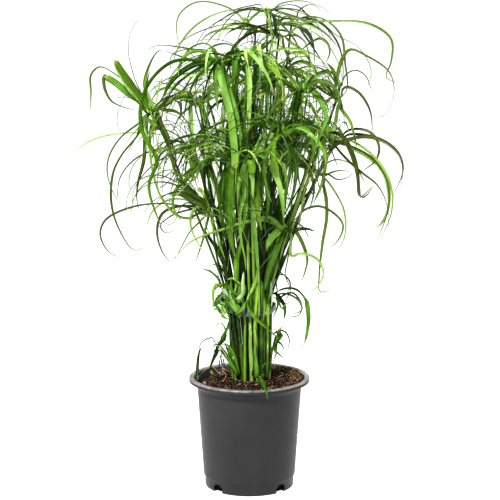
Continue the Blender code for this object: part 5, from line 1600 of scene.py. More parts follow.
def make_pot(material):
    """The pot, turned from its section, with its drain notches cut out."""
    bm = bmesh.new()
    points = [bm.verts.new((radius, 0.0, height)) for radius, height in pot_profile()]
    for low, high in zip(points, points[1:] + points[:1]):
        bm.edges.new((low, high))
    pot = from_bmesh("nursery_pot", bm)
    screw = pot.modifiers.new("turn", "SCREW")
    screw.angle = math.tau
    screw.steps = POT_STEPS
    screw.render_steps = POT_STEPS
    screw.use_merge_vertices = True
    screw.merge_threshold = 0.00005
    cutters = [notch_block(math.radians(turn)) for turn in NOTCH_TURNS]
    for cutter in cutters:
        cut = pot.modifiers.new("notch", "BOOLEAN")
        cut.operation = "DIFFERENCE"
        cut.solver = "EXACT"
        cut.object = cutter
    scene_graph = bpy.context.evaluated_depsgraph_get()
    done = bpy.data.meshes.new_from_object(pot.evaluated_get(scene_graph))
    pot.modifiers.clear()
    pot.data = done
    for cutter in cutters:
        bpy.data.objects.remove(cutter, do_unlink=True)
    done.materials.clear()
    done.materials.append(material)
    done.shade_smooth()
    done.set_sharp_from_angle(angle=math.radians(38.0))
    return stand_for(pot, "pot_plastic", "pot")


def on_ring(far, angle):
    """Across and depth of a place by its distance from the axis and its angle."""
    return far * math.cos(angle), far * math.sin(angle)


def notch_block(angle):
    """A block with round upper edges that cuts a drain notch out of the pot's foot."""
    bm = bmesh.new()
    bmesh.ops.create_cube(bm, size=1.0)
    bmesh.ops.scale(bm, vec=(NOTCH_DEPTH, NOTCH_WIDTH, NOTCH_HEIGHT * 2), verts=bm.verts)
    edges = [edge for edge in bm.edges if abs(edge.verts[0].co.x - edge.verts[1].co.x) > 1e-6
             and edge.verts[0].co.z > 0]
    bmesh.ops.bevel(bm, geom=edges, offset=NOTCH_ROUND, segments=4, affect="EDGES")
    block = from_bmesh("notch_block", bm)
    block.location = (*on_ring(FOOT_RADIUS, angle), 0.0)
    block.rotation_euler = (0.0, 0.0, angle)
    return block


def soil_level(across, depth):
    """Height of the soil, lumpy, low at the pot's back left and high at its right."""
    far = math.hypot(across, depth)
    edge = ease((far - 0.045) / 0.026)
    level = SOIL_TOP + 0.0002 - 0.0012 * edge
    back = max(-across * 0.75 + depth * 0.66, 0.0) / 0.075
    level -= SOIL_DIP * edge * ease(back)
    right = max(across * 0.85 + depth * 0.30, 0.0) / 0.070
    level += SOIL_RISE * edge * ease(right)
    level += 0.0015 * noise.fractal(Vector((across, depth, 0.3)) * 120.0, 0.8, 2.1, 4)
    level += 0.0016 * noise.noise(Vector((across, depth, 2.7)) * 33.0) * ease(far / 0.03)
    return level


def make_soil(material):
    """The soil's lumpy surface, and its sides and bottom inside the pot."""
    bank = Bank()
    blank = (0.0,) * 4
    angles = [-step * math.tau / SOIL_STEPS for step in range(SOIL_STEPS)]
    low = None
    for ring in range(SOIL_RINGS, 0, -1):
        far = (pot_inner_radius(SOIL_EDGE) - SOIL_GAP) * ring / SOIL_RINGS
        flat = [on_ring(far, angle) for angle in angles]
        places = [Vector((*place, soil_level(*place))) for place in flat]
        here = bank.ring(places, [blank] * SOIL_STEPS)
        if low is None:
            edge = here
        else:
            bank.join(low, here)
        low = here
    bank.close(low, Vector((0.0, 0.0, soil_level(0.0, 0.0))), blank, True)
    for height in SOIL_SIDES:
        far = pot_inner_radius(height) - SOIL_GAP
        places = [Vector((*on_ring(far, angle), height)) for angle in angles]
        here = bank.ring(places, [blank] * SOIL_STEPS)
        bank.join(here, edge)
        edge = here
    bank.close(edge, Vector((0.0, 0.0, SOIL_SIDES[-1])), blank, False)
    return stand_for(bank.piece("soil_bed", material), "potting_soil", "soil")


def crumb_shape():
    """Corners and faces of a lump with twenty sides."""
    bm = bmesh.new()
    bmesh.ops.create_icosphere(bm, subdivisions=1, radius=1.0)
    corners = [vert.co.copy() for vert in bm.verts]
    faces = [tuple(vert.index for vert in face.verts) for face in bm.faces]
    bm.free()
    return corners, faces


CRUMBS = 4600
CRUMB_REACH = 0.0765
BIG_CRUMBS = 0.05
LIGHT_CRUMBS = 0.42


def make_crumbs(material):
    """Crumbs and chips of peat and bark that lie loose on the soil."""
    chance = random.Random(41)
    corners, faces = crumb_shape()
    bank = Bank()
    for _ in range(CRUMBS):
        angle = chance.uniform(0.0, math.tau)
        across, depth = on_ring(CRUMB_REACH * math.sqrt(chance.uniform(0.0, 1.0)), angle)
        size = 0.0005 + 0.0012 * chance.random() ** 1.8
        if chance.random() < BIG_CRUMBS:
            size *= 1.7
        flat = Vector((chance.uniform(0.7, 1.7), chance.uniform(0.6, 1.1),
                       chance.uniform(0.45, 0.9))) * size
        turn = Matrix.Rotation(chance.uniform(0.0, math.tau), 3, "Z")
        turn = turn @ Matrix.Rotation(chance.uniform(-0.6, 0.6), 3, "X")
        lift = flat.z * 0.35 + 0.0012 * chance.random() ** 2.0
        middle = Vector((across, depth, soil_level(across, depth) + lift))
        places = []
        for corner in corners:
            point = Vector((corner.x * flat.x, corner.y * flat.y, corner.z * flat.z))
            places.append(middle + turn @ (point * chance.uniform(0.75, 1.2)))
        tint = chance.uniform(0.0, 0.32)
        if chance.random() < LIGHT_CRUMBS:
            tint = 0.40 + 0.60 * chance.random() ** 1.5
        here = bank.ring(places, [(0.0, 0.0, tint, 0.0)] * len(places))
        bank.faces += [tuple(here[i] for i in face) for face in faces]
    return stand_for(bank.piece("soil_crumbs", material), "potting_soil")


LOOSE_FIBRES = 330
RIM_FIBRES = 110


def lying_line(far, angle, heading, bend, length, high, steps, lift, reach):
    """A bent line that lies on the soil, arches up in its middle and stops at the rim."""
    place = Vector((*on_ring(far, angle), 0.0))
    line = []
    for step in range(steps + 1):
        level = soil_level(place.x, place.y) + lift + high * math.sin(step / steps * math.pi)
        line.append(Vector((place.x, place.y, level)))
        heading += bend / steps
        place = place + Vector((*on_ring(1.0, heading), 0.0)) * (length / steps)
        if math.hypot(place.x, place.y) > reach:
            break
    return line


def add_fibre(bank, line, thick, tint):
    """A dry fibre that gets thinner towards its end."""
    add_tube(bank, line, lambda share: thick * (1.0 - 0.6 * share), 4, tint, stretch=0.002)


def make_fibres(material):
    """Thin dry fibres and roots, lying on the soil and curling up beside the rim."""
    chance = random.Random(43)
    bank = Bank()
    for _ in range(LOOSE_FIBRES):
        angle = chance.uniform(0.0, math.tau)
        far = 0.072 * math.sqrt(chance.uniform(0.05, 1.0))
        heading = chance.uniform(0.0, math.tau)
        bend = chance.uniform(-1.4, 1.4)
        length = chance.uniform(0.003, 0.016)
        high = chance.uniform(0.0002, 0.0018)
        line = lying_line(far, angle, heading, bend, length, high, 5, 0.0003, 0.0758)
        if len(line) > 2:
            thick = chance.uniform(0.00012, 0.00030)
            add_fibre(bank, line, thick, chance.uniform(0.2, 1.0))
    for _ in range(RIM_FIBRES):
        angle = chance.uniform(-0.5, 1.9)
        far = chance.uniform(0.060, 0.076)
        heading = angle + chance.uniform(0.8, 2.2)
        bend = chance.uniform(-2.6, 2.6)
        high = chance.uniform(0.0010, 0.0045)
        length = chance.uniform(0.006, 0.018)
        line = lying_line(far, angle, heading, bend, length, high, 6, 0.0004, 0.0768)
        if len(line) > 2:
            add_fibre(bank, line, 0.00024, chance.uniform(0.1, 0.8))
    for places in WISPS:
        add_tube(bank, shown_line(places), lambda share: 0.00042 * (1.0 - 0.7 * share), 5, 0.85,
                 stretch=0.003)
    return stand_for(bank.piece("soil_fibres", material), "potting_soil")


# Dry fibres that the photograph shows at the rim, as (across, down, depth)
WISPS = (
    ((272, 372, 0.040), (277, 362, 0.058), (285, 363.5, 0.066), (294, 366, 0.066),
     (302, 369, 0.058), (308, 374, 0.046)),
    ((289, 372, 0.030), (297, 368, 0.040), (304, 372, 0.036), (309, 379, 0.022)),
    ((299, 377, 0.010), (306, 374, 0.016), (309.5, 381, 0.000), (308.5, 388, -0.020)),
    ((197, 380, 0.000), (204, 371, 0.020), (212, 366, 0.034), (220, 366, 0.040)),
    ((222, 376, 0.010), (216, 370, 0.020), (212, 364, 0.024), (215, 358, 0.020)),
    ((220, 385, -0.030), (226, 376, -0.030), (222, 368, -0.024), (228, 362, -0.020)),
)


# The strap's turns round the culms, as width, tilt, where it rides up and how far out it
# lies
TIE_TURNS = ((TIE_BAND * 0.85, 0.0, 0.0, 0.0), (TIE_BAND * 0.6, 0.0024, 2.0, 0.0007))

# The sections of the strap and of its ends: how far across and out each corner lies, and
# its mark across
TIE_SECTION = ((-1, 1, 0.0), (-0.5, 1.5, 0.25), (0, 1.1, 0.5), (0.5, 1.5, 0.75), (1, 1, 1.0),
               (1, -1, 1.0), (0, -1, 0.5), (-1, -1, 0.0))
END_SECTION = ((-1, 1, 0.0), (0, 1.5, 0.5), (1, 1, 1.0), (1, -1, 1.0), (0, -0.6, 0.5),
               (-1, -1, 0.0))


def tie_ring(bank, step, band, tilt, toward, proud):
    """The points of a turn of the strap at one step round the culms."""
    angle = -step * math.tau / TIE_STEPS
    lean = 0.16 * math.sin(angle * 2.0 + 0.8 + toward) + 0.14 * math.sin(angle * 5.0)
    swell = 0.0006 * math.sin(angle * 7.0) + 0.0004 * math.sin(angle * 12.0 + 1.0)
    out = Vector((math.cos(angle), math.sin(angle), 0.0))
    rise = tie_rise(angle) + tilt * math.cos(angle - toward)
    rise += 0.0008 * math.sin(angle * 3.0 + toward)
    middle = Vector((TIE_HALF_WIDTH * out.x, TIE_HALF_DEPTH * out.y, TIE_HEIGHT + rise))
    middle += out * (TIE_THICK * 0.5 + 0.0004 + swell + proud)
    wide = band * (0.92 + 0.12 * math.sin(angle * 4.0 + toward))
    up = Vector((out.x * lean, out.y * lean, 1.0)).normalized()
    tint = 0.46 + 0.36 * math.cos(angle)
    places = []
    marks = []
    for side, face, share in TIE_SECTION:
        places.append(middle + up * (side * wide * 0.5) + out * (face * TIE_THICK * 0.42))
        marks.append((share, step / TIE_STEPS, tint, 0.0))
    return bank.ring(places, marks)


def make_tie(material):
    """The strap, wound twice round the culms and folded a little, with its knot and ends."""
    bank = Bank()
    for turn in TIE_TURNS:
        rings = [tie_ring(bank, step, *turn) for step in range(TIE_STEPS)]
        for low, high in zip(rings, rings[1:] + rings[:1]):
            bank.join(low, high)
    for width, tint, turn, *places in TIE_ENDS:
        add_strap_end(bank, Route(shown_line(places, 6), turn), width, tint)
    tie = bank.piece("tie_strap", material)
    tie.data.set_sharp_from_angle(angle=math.radians(50.0))
    return stand_for(tie, "tie_strap", "tie")


# The knot's loops and the strap's free ends, as width, tint, turn and places
TIE_ENDS = (
    (0.0062, 0.9, (80.0, 70.0), (222.5, 288, -0.022), (226, 294, -0.026), (230, 301, -0.029),
        (233.5, 307, -0.031), (236, 310, -0.032)),
    (0.006, 0.05, (70.0, 40.0), (219, 295, -0.016), (222, 299, -0.021), (227, 303, -0.026),
        (231, 306, -0.029)),
    (0.0046, 0.1, (30.0, 70.0), (218, 301, -0.014), (222, 304, -0.022), (227, 305, -0.027)),
    (0.004, 0.2, (60.0, 20.0), (224, 297, -0.022), (220, 296, -0.018), (218, 299, -0.014),
        (220, 303, -0.018), (225, 304, -0.024)),
    (0.005, 0.55, (60.0, 80.0), (229, 304, -0.029), (231, 308, -0.031), (231.5, 313, -0.031)),
)


def add_strap_end(bank, route, width, tint):
    """A loop or a free end of the strap, closed at both ends."""
    low = None
    steps = 16
    for step in range(steps + 1):
        share = step / steps
        place, heading, side = route.frame(share)
        up = heading.cross(side)
        places = []
        marks = []
        for a, b, mark in END_SECTION:
            places.append(place + side * (a * width * 0.5) + up * (b * 0.0006))
            marks.append((mark, share, tint, 0.0))
        ring = bank.ring(places, marks)
        if low is None:
            bank.close(ring, place, (0.5, 0.0, tint, 0.0), False)
        else:
            bank.join(low, ring)
        low = ring
    bank.close(low, route.frame(1.0)[0], (0.5, 1.0, tint, 0.0), True)


# How far culms and shoots go on below the soil's surface
CULM_ROOT = Vector((0.0, 0.0, 0.008))
SHOOT_ROOT = Vector((0.0, 0.0, 0.006))


def make_culm(number, line, thick, material):
    """A culm with fine ribs, and the sheaths that wrap its foot."""
    chance = random.Random(500 + number)
    bank = Bank()
    # Culms that are not listed get a dark green, as painted shade inside the bundle.
    tint = CULM_TINTS.get(number, chance.uniform(0.02, 0.22))
    root = line[0] - CULM_ROOT
    add_tube(bank, smooth_line([root] + line, 6),
             lambda share: thick * 0.5 * mix(0.76, 0.78, share), 12, tint,
             lobes=0.07, marks_from=0.10)
    high = chance.uniform(0.035, 0.120)
    for part in (1.0, 0.45):
        top = line[0].z + high * part
        flare = chance.uniform(0.0002, 0.0006)
        sheath = [root] + cut_line(line, line[0].z, top)
        grow = thick * 0.38
        add_tube(bank, smooth_line(sheath, 5),
                 lambda share: grow + 0.00025 + flare * (1.0 - share) ** 0.8, 12,
                 min(tint + chance.uniform(-0.02, 0.12), 1.0), age=chance.uniform(0.0, 0.12),
                 stretch=0.005, slant=0.006, marks_from=0.02)
    for _ in range(2):
        add_companion(bank, line, thick, chance)
    add_fallen(bank, line, chance)
    return stand_for(bank.piece(f"stem_{number:02d}", material), "culm_green",
                     f"culm_{number:02d}")


def add_companion(bank, line, thick, chance):
    """A thinner stalk that stands against a culm, on the bundle's inner side, and ends early."""
    top = min(chance.uniform(0.300, 0.430), line[-1].z - 0.030)
    swing = chance.uniform(-1.2, 1.2)
    spread = chance.uniform(0.3, 1.6)
    places = []
    for place in cut_line(line, line[0].z, top):
        inward = Matrix.Rotation(swing, 3, "Z") @ Vector((-place.x, -place.y, 0.0)).normalized()
        far = thick * 0.5 + 0.0010 + spread * max(place.z - WAIST, 0.0) * 0.05
        places.append(place + inward * far)
    places[0] = places[0] - CULM_ROOT
    width = chance.uniform(0.0009, 0.0016)
    # The stalks are dark, as painted shade inside the bundle.
    add_tube(bank, smooth_line(places, 5), lambda share: width * max(1.0 - share ** 3.0, 0.12), 8,
             chance.uniform(0.00, 0.22), stretch=0.008, marks_from=0.10)


def add_fallen(bank, line, chance):
    """A broad old leaf that has fallen in beside a culm and hangs down inside the bundle."""
    high = min(chance.uniform(0.330, 0.430), line[-1].z - 0.040)
    low = chance.uniform(0.262, 0.285)
    shift = chance.uniform(-0.9, 0.9)
    places = []
    for place in reversed(cut_line(line, low, high)):
        inward = Matrix.Rotation(shift, 3, "Z") @ Vector((-place.x, -place.y, 0.0))
        places.append(place + inward * (0.45 * ease((high - place.z) / 0.06)))
    route = front_route(smooth_line(places, 5))
    add_leaf(bank, route, chance.uniform(0.004, 0.010), chance.uniform(0.06, 0.46), chance)


# Greens of the culms that the photograph shows clearly
CULM_TINTS = {1: 0.41, 3: 0.82, 16: 0.74, 2: 0.24, 13: 0.80, 9: 0.30, 25: 0.26, 8: 0.48, 18: 0.12,
              10: 0.50, 21: 0.10, 17: 0.05}


def fill_routes(hub, axis, count, chance, most_curl=ARCH_CURL):
    """Lines for the many bracts that only fill a whorl: out of the crown, then down."""
    start = chance.uniform(0.0, math.tau)
    routes = []
    for number in range(count):
        toward = around(axis, start + number * math.tau * GOLDEN)
        origin = hub + axis * chance.uniform(-0.0016, 0.0020) - toward * HUB_RADIUS * 0.5
        for _ in range(14):
            route = random_arch(hub, origin, toward, FILL_ARCH, most_curl, chance)
            if inside_canopy(route):
                routes.append(route)
                break
    return routes


def inside_bundle(line):
    """Whether the low part of a hanging line keeps among the culms."""
    for place in line:
        over = max(place.z - TIE_HEIGHT, 0.0)
        spread = TIE_HALF_WIDTH + over * 0.20 + max(over - 0.14, 0.0) * 1.5
        if math.hypot(place.x, place.y) > spread:
            return False
    return True


def drape_line(place, toward, inward, fall, chance):
    """A line that bends over beside the crown, drawn in to the bundle as it hangs."""
    line = [place.copy()]
    reach = chance.uniform(0.10, 0.34)
    bend = chance.uniform(0.10, 0.26)
    rise = chance.uniform(0.5, 1.3)
    pull = chance.uniform(0.70, 1.15)
    phase = chance.uniform(0.0, math.tau)
    sway = chance.uniform(0.0, 0.22)
    across = Vector((-toward.y, toward.x, 0.0))
    steps = 26
    for step in range(steps):
        share = (step + 0.5) / steps
        over = ease(share / bend)
        ahead = toward * mix(0.8, reach * (1.0 - share), over)
        ahead = ahead + across * (sway * math.sin(phase + share * 7.0))
        ahead.z = mix(rise, -1.0, over)
        ahead = ahead + inward * (pull * over)
        place = place + ahead.normalized() * (fall * 1.12 / steps)
        line.append(place.copy())
    return line


def drape_routes(hub, axis, count, low, chance):
    """Lines for bracts that bend over beside the crown and hang down among the culms."""
    start = chance.uniform(0.0, math.tau)
    inward = Vector((-hub.x, -hub.y, 0.0)) / max(hub.z - 0.22, 0.10)
    high = max(hub.z - 0.06, low + 0.02)
    routes = []
    for number in range(count):
        toward = around(axis, start + number * math.tau * GOLDEN)
        for _ in range(12):
            origin = hub + axis * chance.uniform(-0.0016, 0.0030) - toward * HUB_RADIUS * 0.5
            fall = hub.z - mix(low, high, chance.random() ** 1.7)
            line = drape_line(origin + toward * HUB_RADIUS, toward, inward, fall, chance)
            if inside_bundle(line):
                turn = (chance.uniform(-60, 60), chance.uniform(-150, 150))
                routes.append(Route(line, turn))
                break
    return routes


def front_route(line):
    """A route whose side is turned so that a bract along it shows its broad face in front."""
    route = Route(line)
    face_front(route)
    return route


def face_front(route):
    """Turn a route's side so that a bract along it shows its broad face to the front."""
    turn = []
    for share in (0.35, 0.80):
        step = min(int(share * (len(route.line) - 1)), len(route.line) - 2)
        heading, side = route.headings[step], route.sides[step]
        want = heading.cross(Vector((0.0, -1.0, 0.0)))
        want = want.normalized() if want.length > 0.05 else side
        angle = math.degrees(math.atan2(heading.dot(side.cross(want)), side.dot(want)))
        turn.append((angle + 90.0) % 180.0 - 90.0)
    if abs(turn[1] - turn[0]) > 90.0:
        turn[1] -= math.copysign(180.0, turn[1] - turn[0])
    route.turn = tuple(turn)


# Bands of green for bracts, and below what width a bract is darker, and by how much
GREEN_BANDS = ((0.04, 0.27), (0.11, 0.42), (0.28, 0.58), (0.45, 0.76), (0.64, 0.96))
NARROW = 0.0036
NARROW_SHADE = 0.6


def leaf_tint(width, chance):
    """How light a bract is: any green for the wide ones, mostly dark for the narrow."""
    low, high = chance.choice(GREEN_BANDS)
    if width < NARROW:
        return chance.uniform(low, high) * NARROW_SHADE
    return chance.uniform(low, high)


# From this turn at both ends, in degrees, a traced bract shows its broad face
BROAD_TURN = 75

# Bracts whose green the photograph shows, by culm and place in TRACED, or in EXTRA if the
# place has an x
TINTS = {
    (1, 0): 0.62, (1, 1): 0.4, (1, 2): 0.5, (1, 3): 0.42, (1, 4): 0.3, (1, 5): 0.45,
    (1, "x0"): 0.55, (1, "x1"): 0.48, (1, "x2"): 0.5, (1, "x3"): 0.6, (1, "x5"): 0.26, (2, 0): 0.5,
    (2, 1): 0.55, (2, "x0"): 0.6, (2, "x1"): 0.33, (2, "x2"): 0.46, (3, 0): 0.46, (3, 1): 0.42,
    (3, "x4"): 0.76, (3, "x5"): 0.73, (4, 0): 0.16, (4, 1): 0.5, (4, "x0"): 0.22, (4, "x1"): 0.33,
    (5, 0): 0.2, (5, 1): 0.2, (5, 2): 0.25, (5, "x2"): 0.57, (6, 0): 0.5, (6, 1): 0.3,
    (7, 0): 0.38, (8, 0): 0.6, (9, 0): 0.45, (9, 1): 0.1, (9, 2): 0.25, (11, 0): 0.2, (11, 1): 0.1,
    (12, 0): 0.4, (13, 0): 0.42, (16, "x0"): 0.56, (16, "x1"): 0.73, (16, "x4"): 0.7,
    (17, "x0"): 0.4, (18, "x0"): 0.55, (19, 0): 0.05, (20, 0): 0.2, (20, 1): 0.45, (20, 2): 0.1,
    (21, "x0"): 0.62, (21, "x1"): 0.3, (23, "x1"): 0.35, (25, 0): 0.3, (25, 1): 0.45, (25, 2): 0.5,
}


def add_bract(bank, number, place, route, width, chance):
    """A bract of a whorl, by its place in the culm's table."""
    tint = leaf_tint(width, chance) * (CALM_SHADE if number in CALM else 1.0)
    tint = TINTS.get((number, place), tint)
    if (number, place) in THINNED:
        width *= THIN
    age = OLIVE.get(number, 0.0) if width < OLIVE_WIDTH else 0.0
    add_leaf(bank, route, width, tint, chance, blunt=(number, place) in BLUNT, age=age)


def extra_route(hub, axis, leaf, lift=0.0):
    """The line of a bract that only the looks have, from within the crown."""
    toward = around(axis, bearing_of(hub, axis, first_spot(hub, leaf)))
    origin = hub - toward * HUB_RADIUS * 0.5 + axis * lift
    route = traced_route(origin, leaf, toward, 0.0, 0.0)
    if min(leaf.turn) >= BROAD_TURN:
        face_front(route)
    return route


def add_crown(bank, hub, axis):
    """The knob from which the bracts of a whorl grow."""
    knob = [hub - axis * 0.0040, hub - axis * 0.0010, hub + axis * 0.0020, hub + axis * 0.0036]
    add_tube(bank, knob, lambda share: mix(0.0026, 0.0034, math.sin(share * math.pi)), 10,
             0.75, stretch=0.0012)


def add_filling(bank, number, hub, axis, chance):
    """The many untraced bracts of a whorl: arched, hanging, and thin and curling."""
    olive = OLIVE.get(number, 0.0)
    sprays, drapes, low = FILL[number]
    dull = DULL_SHADE if number in DULL else 1.0
    for route in fill_routes(hub, axis, sprays, chance):
        width = 0.0015 + 0.0048 * chance.random() ** 1.8 * dull
        tint = leaf_tint(width, chance) * dull
        age = chance.uniform(0.2, 0.7) if chance.random() < 0.03 else olive
        add_leaf(bank, route, width, tint, chance, blunt=chance.random() < 0.06, age=age)
    for route in drape_routes(hub, axis, drapes, low, chance):
        width = 0.0022 + 0.0064 * chance.random() ** 1.4
        add_leaf(bank, route, width, leaf_tint(width, chance), chance,
                 blunt=chance.random() < 0.10)
    wisps = WISPY if hub.z < TOP_CROWNS else WISPY_AT_TOP
    for route in fill_routes(hub, axis, wisps, chance, WISP_CURL):
        add_leaf(bank, route, chance.uniform(0.0012, 0.0022), chance.uniform(0.0, 0.6), chance,
                 age=olive)


def make_whorl(number, line, whorl, material):
    """A crown, its bracts along the solids' lines, and the many more round them."""
    chance = random.Random(900 + number)
    hub, axis = line[-1], crown_axis(line)
    bank = Bank()
    add_crown(bank, hub, axis)
    for side, (route, width) in whorl[2].items():
        add_bract(bank, number, side, route, width, chance)
    for order, leaf in enumerate(EXTRA[number]):
        route = extra_route(hub, axis, leaf, chance.uniform(-0.001, 0.0015))
        add_bract(bank, number, f"x{order}", route, leaf.width, chance)
    add_filling(bank, number, hub, axis, chance)
    return stand_for(bank.piece(f"whorl_{number:02d}", material), "bract_green",
                     f"bracts_{number:02d}")


# How many thin curling bracts a whorl has, fewer at the top, from what height that is, and
# how far they curl, in degrees
WISPY = 12
WISPY_AT_TOP = 3
TOP_CROWNS = 0.60
WISP_CURL = 200.0

# The whorls whose sprays are dark and thin, and by how much
DULL = {16, 17, 18, 21, 22}
DULL_SHADE = 0.4

# How olive the narrow bracts are, by whorl, and below what width
OLIVE = {1: 0.10, 3: 0.05, 4: 0.08, 5: 0.12, 6: 0.11, 7: 0.10, 8: 0.07, 9: 0.18, 10: 0.06,
         11: 0.16, 12: 0.12, 13: 0.08, 14: 0.06, 15: 0.06, 18: 0.07, 19: 0.16, 20: 0.09, 23: 0.11,
         24: 0.06, 25: 0.06}
OLIVE_WIDTH = 0.0063

# Bracts at the top that are thinner than their solids' strips, and by how much
THINNED = {(5, 1), (5, 3), (5, 4), (5, 5), (6, 1), (6, 3), (6, 4), (7, 4), (4, 4), (4, 3)}
THIN = 0.62

# The top whorls on the right, whose bracts are all rather dark, and by how much
CALM = {5, 6, 7}
CALM_SHADE = 0.5

# How many untraced bracts fill a whorl, arched and hanging, and how low the hanging ones go
FILL = {
    1: (3, 1, 0.44), 2: (3, 5, 0.34), 3: (1, 8, 0.36), 4: (0, 0, 0.50), 5: (0, 0, 0.54),
    6: (0, 0, 0.56), 7: (1, 1, 0.50), 8: (4, 6, 0.40), 9: (2, 1, 0.33), 10: (4, 9, 0.34),
    11: (3, 1, 0.46), 12: (1, 0, 0.40), 13: (1, 2, 0.37), 14: (1, 5, 0.36), 15: (2, 8, 0.32),
    16: (3, 14, 0.265), 17: (4, 14, 0.255), 18: (4, 5, 0.32), 19: (5, 2, 0.36),
    20: (7, 2, 0.34), 21: (4, 12, 0.26), 22: (2, 10, 0.27), 23: (2, 1, 0.33),
    24: (5, 5, 0.38), 25: (2, 12, 0.255),
}


def make_shoot(number, line, shoot, whorl, material):
    """A young shoot: a short stem and its leaves."""
    chance = random.Random(1300 + number)
    bank = Bank()
    add_tube(bank, smooth_line([line[0] - SHOOT_ROOT] + line, 6),
             lambda share: shoot.thick * 0.5 * mix(1.15, 0.75, share), 10,
             chance.uniform(0.35, 0.6), lobes=0.05, stretch=0.005, marks_from=0.04)
    hub, axis = line[-1], crown_axis(line)
    for side, (route, width) in whorl[2].items():
        bright = YOUNG_TINTS.get((number, side), chance.uniform(0.10, 0.6))
        add_leaf(bank, route, SLIM.get((number, side), width), bright, chance)
    for leaf in EXTRA_YOUNG.get(number, ()):
        route = extra_route(hub, axis, leaf)
        add_leaf(bank, route, leaf.width, chance.uniform(0.05, 0.75), chance)
    for width, tint, age, *places in BLADES.get(number, ()):
        add_leaf(bank, front_route(shown_line(places)), width, tint, chance, age=age)
    return stand_for(bank.piece(f"young_{number:02d}", material), "young_green",
                     f"shoot_{number:02d}")


# Greens of shoots' leaves and the narrow ones, by shoot and place in its table
YOUNG_TINTS = {(1, 0): 0.49, (1, 1): 0.60, (1, 2): 1.00, (2, 0): 0.25, (2, 1): 0.05,
               (4, 0): 0.15, (4, 1): 0.05, (4, 2): 0.10, (6, 0): 0.30}
SLIM = {(5, 0): 0.0022, (4, 1): 0.0022, (4, 2): 0.0024, (2, 1): 0.0022}

